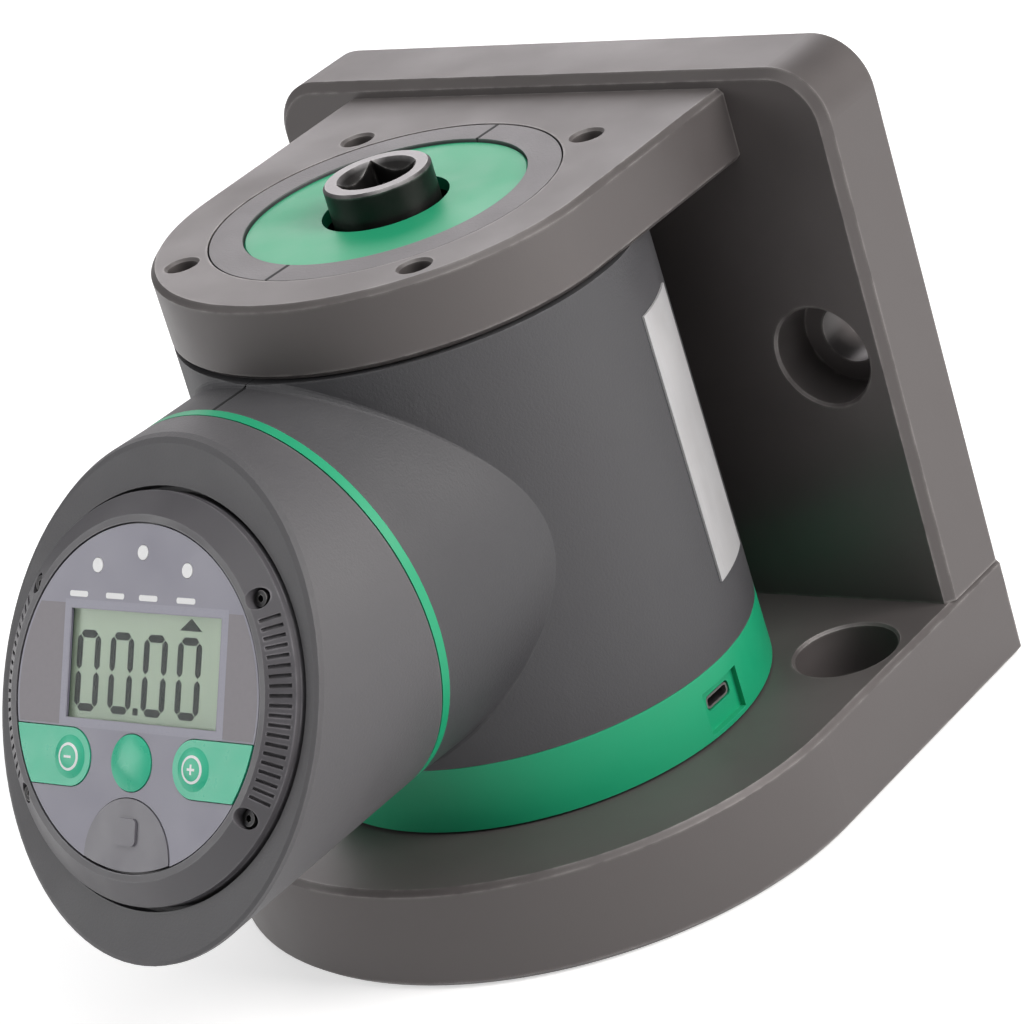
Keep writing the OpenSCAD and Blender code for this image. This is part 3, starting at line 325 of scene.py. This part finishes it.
key_finish = coated_finish(
    "green key cap", (0.030, 0.500, 0.290), (0.055, 0.570, 0.345), (0.10, 0.60, 0.38), (0.3, 0.5, 0.4),
    0.30, grain_size=1500.0, cloud_size=160.0, bump=0.1, edge_radius=0.0004, edge_amount=0.5,
    dust_amount=0.04)
dark_key_finish = coated_finish(
    "dark key cap", (0.150, 0.144, 0.164), (0.180, 0.172, 0.195), (0.18, 0.17, 0.20), (0.2, 0.2, 0.2),
    0.34, grain_size=1500.0, cloud_size=160.0, bump=0.1, edge_radius=0.0004, edge_amount=0.5,
    dust_amount=0.04)
film_finish = coated_finish(
    "printed front film", (0.215, 0.208, 0.262), (0.240, 0.232, 0.290), (0.33, 0.32, 0.36),
    (0.34, 0.33, 0.36), 0.33, grain_size=3200.0, cloud_size=70.0, bump=0.12, bump_depth=0.00003,
    edge_radius=0.0003, edge_amount=0.4, dust_amount=0.05)
plug_finish = coated_finish(
    "plated port shell", (0.50, 0.50, 0.49), (0.60, 0.60, 0.59), (0.75, 0.75, 0.74), (0.4, 0.4, 0.4),
    0.26, metallic=1.0, grain_size=900.0, bump=0.05, edge_radius=0.0002)
tongue_finish = coated_finish(
    "port tongue", (0.012, 0.012, 0.013), (0.02, 0.02, 0.022), (0.06, 0.06, 0.06), (0.06, 0.06, 0.06), 0.4)
contact_finish = coated_finish(
    "gilt contact", (0.75, 0.52, 0.20), (0.82, 0.60, 0.26), (0.9, 0.75, 0.45), (0.5, 0.4, 0.2), 0.25,
    metallic=1.0, edge_radius=0.0001)


def turned_steel_finish(name, colour, roughness, ring_scale, stretch):
    """Ground or turned steel: fine lathe lines that follow the height, with light oil clouds."""
    material, tree, shader = start_finish(name)
    lines = stretched_lines(tree, stretch, ring_scale, 4.0)
    grain = put_group(tree, grain_group, Grain_Size=1600.0, Cloud_Size=55.0)
    edges = put_group(tree, edge_group, Radius=0.0005, Amount=0.6)
    dark = tuple(c * 0.78 for c in colour)
    body = blend_colours(tree, lines, dark, colour)
    bright = blend_colours(tree, edges.outputs["Mask"], body, (0.85, 0.85, 0.85))
    tree.links.new(bright, shader.inputs["Base Color"])
    vary_roughness(tree, shader, grain.outputs["Clouds"], roughness - 0.08, roughness + 0.1)
    shader.inputs["Metallic"].default_value = 1.0
    add_relief(tree, shader, lines, 0.25, 0.00002)
    return material


def make_socket_finish():
    """Black oxide that has worn to grey steel on the rim and inside the mouth of the square."""
    material, tree, shader = start_finish("black oxide socket")
    height = split_height(tree, object_place(tree))
    grain = put_group(tree, grain_group, Grain_Size=1400.0, Cloud_Size=220.0)
    edges = put_group(tree, edge_group, Radius=0.0011, Amount=0.8, Breakup=300.0)
    rim = span(tree, height, 0.0, 0.6, (SOCKET_TOP - WORN_RIM) * MM, SOCKET_TOP * MM)
    patches = span(tree, grain.outputs["Clouds"], 0.55, 1.0, 0.35, 0.65)
    rubbed = combine(tree, "MULTIPLY", rim, patches)
    oxide = blend_colours(tree, grain.outputs["Clouds"], (0.022, 0.021, 0.021), (0.040, 0.038, 0.037))
    worn = blend_colours(tree, rubbed, oxide, (0.40, 0.385, 0.39))
    bright = blend_colours(tree, edges.outputs["Mask"], worn, (0.42, 0.41, 0.40))
    tree.links.new(bright, shader.inputs["Base Color"])
    vary_roughness(tree, shader, grain.outputs["Clouds"], 0.30, 0.48)
    shader.inputs["Metallic"].default_value = 0.8
    add_relief(tree, shader, grain.outputs["Height"], 0.2, 0.00004)
    return material


def make_foil_finish():
    """Thin brushed foil: fine lines along its length and faint darker patches of handling."""
    material, tree, shader = start_finish("brushed blank foil")
    lines = stretched_lines(tree, (1.0, 1.0, 0.02), 2600.0, 2.0)
    grain = put_group(tree, grain_group, Grain_Size=900.0, Cloud_Size=60.0)
    body = blend_colours(tree, lines, (0.50, 0.50, 0.51), (0.62, 0.62, 0.63))
    patches = span(tree, grain.outputs["Clouds"], 0.0, 0.35, 0.45, 0.7)
    handled = blend_colours(tree, patches, body, (0.47, 0.46, 0.46))
    tree.links.new(handled, shader.inputs["Base Color"])
    vary_roughness(tree, shader, lines, 0.30, 0.46)
    shader.inputs["Metallic"].default_value = 0.30
    return material


def make_window_finish():
    material, tree, shader = start_finish("clear window")
    grain = put_group(tree, grain_group, Grain_Size=300.0, Cloud_Size=80.0)
    tint = blend_colours(tree, grain.outputs["Clouds"], (0.96, 0.98, 0.97), (0.92, 0.95, 0.94))
    tree.links.new(tint, shader.inputs["Base Color"])
    vary_roughness(tree, shader, grain.outputs["Clouds"], 0.02, 0.07)
    shader.inputs["IOR"].default_value = 1.14
    shader.inputs["Transmission Weight"].default_value = 1.0
    return material


def make_lcd_finish():
    """The reflective display: pale grey-green, a little darker at its lower edge, with a faint dot weave and
    a faint painted glow, though it has no lamp in it.
    """
    material, tree, shader = start_finish("reflective display")
    height = split_height(tree, object_place(tree))
    grain = put_group(tree, grain_group, Grain_Size=5000.0, Cloud_Size=60.0)
    low = blend_colours(tree, grain.outputs["Clouds"], (0.330, 0.405, 0.300), (0.360, 0.435, 0.330))
    rise = span(tree, height, 0.0, 1.0, LCD_LOW * MM, LCD_HIGH * MM)
    graded = blend_colours(tree, rise, low, (0.425, 0.505, 0.385))
    dots = span(tree, grain.outputs["Height"], 0.0, 0.25, 0.4, 0.7)
    weave = blend_colours(tree, dots, graded, (0.29, 0.36, 0.27))
    tree.links.new(weave, shader.inputs["Base Color"])
    vary_roughness(tree, shader, grain.outputs["Clouds"], 0.30, 0.42)
    # Painted glow: the display gives off a little light of its own, though it has no backlight
    shader.inputs["Emission Strength"].default_value = 0.12
    tree.links.new(weave, shader.inputs["Emission Color"])
    return material


def make_ink_and_shade_finish(name, colour, other, roughness):
    """Printed ink with a slightly uneven deposit; the seam strips use it as a painted shadow."""
    material, tree, shader = start_finish(name)
    grain = put_group(tree, grain_group, Grain_Size=4200.0, Cloud_Size=900.0)
    tree.links.new(blend_colours(tree, grain.outputs["Clouds"], colour, other), shader.inputs["Base Color"])
    vary_roughness(tree, shader, grain.outputs["Height"], roughness - 0.05, roughness + 0.08)
    return material


steel_finish = turned_steel_finish("ground steel", (0.52, 0.52, 0.53), 0.30, 400.0, (1.0, 1.0, 14.0))
bearing_finish = turned_steel_finish(
    "polished bearing steel", (0.68, 0.69, 0.70), 0.16, 500.0, (1.0, 1.0, 10.0))
socket_finish = make_socket_finish()
foil_finish = make_foil_finish()
window_finish = make_window_finish()
lcd_finish = make_lcd_finish()
white_ink = make_ink_and_shade_finish("white ink", (0.88, 0.88, 0.89), (0.94, 0.94, 0.94), 0.45)
segment_ink = make_ink_and_shade_finish("display segments", (0.004, 0.010, 0.008), (0.008, 0.016, 0.013), 0.6)
band_ink = make_ink_and_shade_finish("warm film band", (0.160, 0.142, 0.162), (0.180, 0.160, 0.181), 0.33)
# A near-black for the seam strips: painted shadow in the gaps between the housing's halves
seam_shadow_paint = make_ink_and_shade_finish("seam shadow", (0.006, 0.006, 0.007), (0.010, 0.010, 0.011), 0.7)
border_ink = make_ink_and_shade_finish("pale display border", (0.245, 0.240, 0.305), (0.270, 0.265, 0.330), 0.3)
lamp_finish = make_ink_and_shade_finish("lamp cap", (0.84, 0.84, 0.85), (0.92, 0.92, 0.92), 0.3)

FINISHES = {
    "base_plate": plate_finish, "back_plate": plate_finish, "top_plate": plate_finish,
    "base_screws": black_screw_finish, "top_screws": black_screw_finish,
    "tube_screws": black_screw_finish, "shaft_screws": black_screw_finish,
    "housing_screws": black_screw_finish, "retainer_screws": black_screw_finish,
    "head_screws": black_screw_finish, "board_screws": black_screw_finish,
    "support_tube": steel_finish, "measuring_shaft": steel_finish, "hub_retainer": steel_finish,
    "strain_gauges": gauge_finish, "guide_bearing": bearing_finish, "drive_socket": socket_finish,
    "housing_left": shell_finish, "housing_right": shell_finish, "base_ring": green_finish,
    "cover_disc": green_finish, "pod_ring": green_finish, "lower_bush": bush_finish,
    "upper_bush": bush_finish, "name_plate": foil_finish, "main_board": board_finish,
    "battery_pack": battery_finish, "usb_socket": plug_finish, "usb_board": board_finish,
    "collar": lightened_collar_finish, "head_pan": ring_finish, "head_ring": ring_finish, "overlay": film_finish,
    "lcd_window": window_finish, "lcd_module": lcd_finish, "led_lights": lamp_finish,
    "display_board": board_finish, "key_switches": switch_finish, "minus_key": key_finish,
    "mode_key": key_finish, "plus_key": key_finish, "clear_key": dark_key_finish,
}
for name, node in nodes.items():
    node.data.materials.clear()
    node.data.materials.append(FINISHES[name])


# Ways to make the printed marks and small pieces


def put_mesh(name, mesh, finish):
    """Makes an object of a bmesh and puts it into the scene."""
    data = bpy.data.meshes.new(name)
    mesh.to_mesh(data)
    mesh.free()
    data.materials.append(finish)
    piece = bpy.data.objects.new(name, data)
    bpy.context.scene.collection.objects.link(piece)
    return piece


def finish_piece(name, mesh, place, body, finish):
    """Puts a bmesh into the scene with its place in its vertices, on its body and in its slot."""
    bmesh.ops.transform(mesh, matrix=place, verts=mesh.verts)
    bmesh.ops.recalc_face_normals(mesh, faces=mesh.faces)
    piece = put_mesh(name, mesh, finish)
    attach(piece, body)


def lifted(place, height):
    """A frame that lies higher than another by so many millimetres."""
    return place @ Matrix.Translation((0, 0, height * MM))


def raise_faces(mesh, faces, thick):
    """Gives flat faces a thickness upward."""
    made = bmesh.ops.extrude_face_region(mesh, geom=faces)
    up = [v for v in made["geom"] if isinstance(v, bmesh.types.BMVert)]
    bmesh.ops.translate(mesh, vec=(0, 0, thick * MM), verts=up)


def add_outline(mesh, points, thick):
    """A flat piece from a few corner points."""
    corners = [mesh.verts.new((x * MM, y * MM, 0)) for x, y in points]
    raise_faces(mesh, [mesh.faces.new(corners)], thick)


def add_bar(mesh, middle, width, length, thick, corner=0.0):
    """A flat bar, whose upright edges are rounded where it has a corner radius."""
    made = bmesh.ops.create_cube(mesh, size=1.0)
    height = thick * MM
    bmesh.ops.scale(mesh, vec=(width * MM, length * MM, height), verts=made["verts"])
    bmesh.ops.translate(mesh, vec=(middle[0] * MM, middle[1] * MM, height / 2), verts=made["verts"])
    if corner:
        upright = [e for v in made["verts"] for e in v.link_edges
                   if abs(e.verts[0].co.z - e.verts[1].co.z) > height / 2]
        bmesh.ops.bevel(mesh, geom=list(set(upright)), offset=corner * MM, offset_type="OFFSET",
                        segments=5, profile=0.5, affect="EDGES", material=-1)


def dome_height(x, y):
    """How high a key's boss stands over its bar at a place from its middle."""
    ball = (BOSS_RADIUS ** 2 + BOSS_RISE ** 2) / (2 * BOSS_RISE)
    return max(0.0, math.sqrt(ball * ball - x * x - y * y) - (ball - BOSS_RISE))


def add_dome_ring(mesh, middle, inner, outer, thick):
    """A printed ring that lies on a boss: a small closed profile, spun round the boss's middle."""
    corners = [(inner, 0.0), (outer, 0.0), (outer, thick), (inner, thick)]
    profile = []
    for r, up in corners:
        height = KEY_TOP + dome_height(r, 0) + up
        profile.append(mesh.verts.new(((middle[0] + r) * MM, middle[1] * MM, height * MM)))
    edges = [mesh.edges.new((profile[i], profile[i - 1])) for i in range(len(profile))]
    bmesh.ops.spin(mesh, geom=profile + edges, cent=(middle[0] * MM, middle[1] * MM, 0), axis=(0, 0, 1),
                   angle=math.tau, steps=48, use_merge=True)


def add_dome_bar(mesh, middle, long, wide, upright, thick):
    """A printed bar that follows a boss: a fine grid, bent over it and raised."""
    made = bmesh.ops.create_grid(mesh, x_segments=8, y_segments=2, size=0.5)
    size = (wide, long, 1.0) if upright else (long, wide, 1.0)
    bmesh.ops.scale(mesh, vec=size, verts=made["verts"])
    for vertex in made["verts"]:
        x, y = vertex.co.x, vertex.co.y
        vertex.co = Vector((middle[0] + x, middle[1] + y, KEY_TOP + dome_height(x, y))) * MM
    raise_faces(mesh, list({face for vertex in made["verts"] for face in vertex.link_faces}), thick)


# The display's digits

# The height of the display's face, and the corner that its digits and rim are placed from, from its middle
LCD_TOP = 3.7
LCD_HALF = (22.15, 11.2)

DIGIT_COUNT = 4
DIGIT_W = 5.3
DIGIT_H = 15.1
DIGIT_STEP = 9.9
DIGIT_LEAN = 0.012
DIGIT_INSET = (0.9, 1.4)
STROKE = 1.6
NIP = 0.2
POINT_SIZE = 1.45
ARROW_HALF = 3.2
ARROW_H = 2.5
ARROW_INSET = 0.5
SEGMENT_THICK = 0.06


def add_segment(mesh, start, end):
    """One stroke of a digit: a bar with mitred ends between two points."""
    along = Vector((end[0] - start[0], end[1] - start[1]))
    step = along.normalized()
    side = Vector((-step.y, step.x)) * STROKE / 2
    a = Vector(start) + step * NIP
    b = Vector(end) - step * NIP
    tip = step * STROKE / 2
    points = [a, a + tip + side, b - tip + side, b, b - tip - side, a + tip - side]
    add_outline(mesh, [(p.x, p.y) for p in reversed(points)], SEGMENT_THICK)


def add_nought(mesh, x, low):
    """A nought of six strokes, with its lower left corner at a place."""
    corners = {}
    for column, dx in (("l", 0), ("r", DIGIT_W)):
        for row, dy in (("b", 0), ("m", DIGIT_H / 2), ("t", DIGIT_H)):
            corners[row + column] = (x + dx + DIGIT_LEAN * dy, low + dy)
    round_trip = ("bl", "br", "mr", "tr", "tl", "ml", "bl")
    for start, end in zip(round_trip, round_trip[1:]):
        add_segment(mesh, corners[start], corners[end])


def make_digits():
    """Four noughts, a decimal point and the arrow above the last one."""
    mesh = bmesh.new()
    left = LCD_MIDDLE[0] - LCD_HALF[0] + DIGIT_INSET[0] + STROKE / 2
    low = LCD_MIDDLE[1] - LCD_HALF[1] + DIGIT_INSET[1] + STROKE / 2
    for number in range(DIGIT_COUNT):
        add_nought(mesh, left + number * DIGIT_STEP, low)
    point_x = left + DIGIT_STEP + (DIGIT_W + DIGIT_STEP) / 2
    add_bar(mesh, (point_x, low), POINT_SIZE, POINT_SIZE, SEGMENT_THICK)
    tip_x = left + (DIGIT_COUNT - 1) * DIGIT_STEP + DIGIT_W / 2 + DIGIT_LEAN * DIGIT_H
    tip_y = LCD_MIDDLE[1] + LCD_HALF[1] - ARROW_INSET
    base_y = tip_y - ARROW_H
    arrow = [(tip_x - ARROW_HALF, base_y), (tip_x + ARROW_HALF, base_y), (tip_x, tip_y)]
    add_outline(mesh, arrow, SEGMENT_THICK)
    finish_piece("display_digits", mesh, lifted(head_frame, LCD_TOP), "display_head", segment_ink)


# Marks printed on the film and the keys

INK_THICK = 0.03
# The middles of the bars over the display, and the line that they lie on
UNIT_PLACES = (-18.4, -7.6, 2.2, 13.2)
UNIT_LINE = 20.3
UNIT_BAR = (5.4, 1.2)
UNIT_CORNER = 0.45
# The rings on the keys by their radii, and the bars of their signs, of which a second one lies on the first
KEY_RING = (2.35, 2.9)
SIGN_BAR = (2.1, 0.5)
SIGN_STEP = 0.01


def make_unit_marks():
    """Four plain bars over the display, one for each unit that the arrow can point to."""
    mesh = bmesh.new()
    for x in UNIT_PLACES:
        add_bar(mesh, (x, UNIT_LINE), *UNIT_BAR, INK_THICK, corner=UNIT_CORNER)
    finish_piece("unit_marks", mesh, lifted(head_frame, FILM_TOP), "display_head", white_ink)


def make_key_marks():
    """White rings with a minus and a plus, printed on the bosses of the two green keys."""
    for name, middle, signs in (("minus", MINUS_PLACE, (False,)), ("plus", PLUS_PLACE, (False, True))):
        mesh = bmesh.new()
        add_dome_ring(mesh, middle, *KEY_RING, INK_THICK)
        for number, upright in enumerate(signs):
            add_dome_bar(mesh, middle, *SIGN_BAR, upright, INK_THICK + SIGN_STEP * number)
        finish_piece(name + "_key_marks", mesh, head_frame, name + "_button", white_ink)


# The film's tinted zones: a band that stops short of the film's edge, and a rim round the display's opening

BAND_RADIUS = 34.9
BAND_BELOW = 1.4
BAND_ABOVE = 0.9
BAND_THICK = 0.015
ARC_STEPS = 24
RIM = 1.7
RIM_GAP = 0.15
RIM_THICK = 0.02


def band_outline(side, low, high, inner):
    """The band on one side of the display, as corner points: an arc outside and a straight edge inside."""
    first = math.asin(low / BAND_RADIUS)
    last = math.asin(high / BAND_RADIUS)
    angles = [first + (last - first) * i / ARC_STEPS for i in range(ARC_STEPS + 1)]
    arc = [(side * BAND_RADIUS * math.cos(angle), BAND_RADIUS * math.sin(angle)) for angle in angles]
    outline = [(inner, low)] + arc + [(inner, high)]
    return outline if side > 0 else outline[::-1]


def make_film_tints():
    """The film's tinted zones: a warm band beside the display and a pale rim round its opening."""
    x, y = LCD_MIDDLE
    half_w, half_h = LCD_HALF[0] + RIM_GAP, LCD_HALF[1] + RIM_GAP
    place = lifted(head_frame, FILM_TOP)
    mesh = bmesh.new()
    for side in (1, -1):
        outline = band_outline(side, y - half_h - BAND_BELOW, y + half_h + BAND_ABOVE,
                               x + side * (half_w + RIM))
        add_outline(mesh, outline, BAND_THICK)
    finish_piece("film_band", mesh, place, "display_head", band_ink)
    mesh = bmesh.new()
    for side in (-1, 1):
        add_bar(mesh, (x + side * (half_w + RIM / 2), y), RIM, 2 * half_h + 2 * RIM, RIM_THICK)
    for side in (-1, 1):
        add_bar(mesh, (x, y + side * (half_h + RIM / 2)), 2 * half_w, RIM, RIM_THICK)
    finish_piece("display_border", mesh, place, "display_head", border_ink)


# The housing's seams: dark strips sunk into its grooves, so that they hardly stand out of them, as painted
# shadow for the gaps between its halves

SEAM_W = 0.84
SEAM_THICK = 0.3
SEAM_SINK = 0.27
# The strip at the neck is shorter than the neck's top face by this
NECK_MARGIN = 0.3
# How far in front of the axis the strip on the pod starts, at the column's wall, and ends, by the pod's end
POD_SEAM_START = 52.0
POD_SEAM_END = 63.2


def make_seam_shadows():
    """Painted shadow: dark lines in the grooves where the housing's two halves meet, at the neck and along
    the pod.
    """
    neck_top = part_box("housing_left")[1][2]
    mesh = bmesh.new()
    for side in (-1, 1):
        add_bar(mesh, (0, side * (DISC_RADIUS + NECK_RADIUS) / 2), SEAM_W,
                NECK_RADIUS - DISC_RADIUS - NECK_MARGIN, SEAM_THICK)
    place = lifted(housing_frame, neck_top / MM - SEAM_SINK)
    finish_piece("neck_seam_shadow", mesh, place, "housing", seam_shadow_paint)
    mesh = bmesh.new()
    add_bar(mesh, (0, -(POD_SEAM_END + POD_SEAM_START) / 2), SEAM_W, POD_SEAM_END - POD_SEAM_START,
            SEAM_THICK)
    place = lifted(housing_frame, POD_HEIGHT + POD_RADIUS - SEAM_SINK)
    finish_piece("pod_seam_shadow", mesh, place, "housing", seam_shadow_paint)


# The charging port's tongue: how far its middle is from the axis, its sides, and the height of its underside

TONGUE_PLACE = 47.0
TONGUE_SIDE = 5.6
TONGUE_THICK = 0.7
TONGUE_CORNER = 0.3
TONGUE_LOW = -0.2
CONTACT_COUNT = 5
CONTACT_PLACE = 48.4
CONTACT_STEP = 0.95
CONTACT_BAR = (2.4, 0.42)
CONTACT_THICK = 0.05


def make_port_tongue():
    """The tongue inside the charging port, with its row of contacts."""
    mesh = bmesh.new()
    add_bar(mesh, (TONGUE_PLACE, 0), TONGUE_SIDE, TONGUE_SIDE, TONGUE_THICK, corner=TONGUE_CORNER)
    place = lifted(port_frame, TONGUE_LOW)
    finish_piece("port_tongue", mesh, place, "housing", tongue_finish)
    mesh = bmesh.new()
    for number in range(CONTACT_COUNT):
        y = (number - (CONTACT_COUNT - 1) / 2) * CONTACT_STEP
        add_bar(mesh, (CONTACT_PLACE, y), *CONTACT_BAR, CONTACT_THICK)
    place = lifted(port_frame, TONGUE_LOW + TONGUE_THICK)
    finish_piece("port_contacts", mesh, place, "housing", contact_finish)


make_digits()
make_unit_marks()
make_key_marks()
make_film_tints()
make_seam_shadows()
make_port_tongue()


# Floor, light and camera

FLOOR_HALF = 1500
FLOOR_DROP = 0.2
FLOOR_GLOW = 0.52
SKY_LIGHT = 0.17
SKY_SEEN = 1.0


def make_floor():
    """A pale floor that glows where it is seen, in a mirror and through glass too, but lights nothing."""
    material, tree, shader = start_finish("pale floor")
    shader.inputs["Base Color"].default_value = (0.80, 0.80, 0.80, 1.0)
    shader.inputs["Roughness"].default_value = 0.9
    shader.inputs["Specular IOR Level"].default_value = 0.0
    rays = tree.nodes.new("ShaderNodeLightPath").outputs
    seen = combine(tree, "ADD", rays["Is Camera Ray"], rays["Is Glossy Ray"], clamp=True)
    seen = combine(tree, "ADD", seen, rays["Is Transmission Ray"], clamp=True)
    shader.inputs["Emission Color"].default_value = (1.0, 1.0, 1.0, 1.0)
    glow = combine(tree, "MULTIPLY", seen, FLOOR_GLOW)
    tree.links.new(glow, shader.inputs["Emission Strength"])
    mesh = bmesh.new()
    bmesh.ops.create_grid(mesh, x_segments=4, y_segments=4, size=FLOOR_HALF * MM)
    bmesh.ops.translate(mesh, vec=(0, 0, -FLOOR_DROP * MM), verts=mesh.verts)
    floor = put_mesh("floor", mesh, material)


def make_world():
    """An even sky that lights the part faintly and shows as white behind it."""
    world = bpy.data.worlds.new("studio")
    bpy.context.scene.world = world
    world.use_nodes = True
    tree = world.node_tree
    sky = tree.nodes["Background"]
    sky.inputs["Color"].default_value = (1.0, 1.0, 1.0, 1.0)
    rays = tree.nodes.new("ShaderNodeLightPath").outputs
    strength = span(tree, rays["Is Camera Ray"], SKY_LIGHT, SKY_SEEN)
    tree.links.new(strength, sky.inputs["Strength"])


def add_lamp(name, place, size, power, colour=(1.0, 1.0, 1.0)):
    """A flat softbox that looks at the part's middle."""
    lamp = bpy.data.lights.new(name, "AREA")
    lamp.shape = "RECTANGLE"
    lamp.size, lamp.size_y = size
    lamp.energy = power
    lamp.color = colour
    holder = bpy.data.objects.new(name, lamp)
    bpy.context.scene.collection.objects.link(holder)
    holder.location = place
    middle = Vector((0.0, 0.0, 0.08))
    holder.rotation_euler = (middle - Vector(place)).to_track_quat("-Z", "Y").to_euler()


def make_lights():
    add_lamp("top softbox", (0.30, -0.05, 0.98), (0.8, 0.8), 4.0)
    add_lamp("back softbox", (-0.75, 0.85, 0.62), (1.1, 0.6), 5.7, (1.0, 0.965, 0.985))
    add_lamp("right softbox", (0.98, 0.24, 0.60), (0.6, 0.8), 11.8, (1.0, 0.965, 0.945))
    add_lamp("front softbox", (-0.85, -0.78, 0.52), (0.8, 0.6), 5.0)


def make_camera():
    """Stands where the photograph was taken from, with its roll."""
    data = bpy.data.cameras.new("photo camera")
    data.sensor_width = 36.0
    data.sensor_fit = "HORIZONTAL"
    data.lens = 153.0996
    data.clip_start = 0.05
    holder = bpy.data.objects.new("photo camera", data)
    bpy.context.scene.collection.objects.link(holder)
    place = Vector((0.5964297, -0.6468889, 0.4466731))
    target = Vector((-0.0397222, 0.0534623, 0.0435713))
    roll = -0.2962
    ahead = (target - place).normalized()
    right = ahead.cross(Vector((0, 0, 1))).normalized()
    up = right.cross(ahead)
    across = right * math.cos(roll) + up * math.sin(roll)
    upward = up * math.cos(roll) - right * math.sin(roll)
    turn = Matrix((across, upward, -ahead)).transposed().to_4x4()
    holder.matrix_world = Matrix.Translation(place) @ turn
    bpy.context.scene.camera = holder


make_floor()
make_world()
make_lights()
make_camera()
bpy.context.scene.view_settings.view_transform = "Standard"
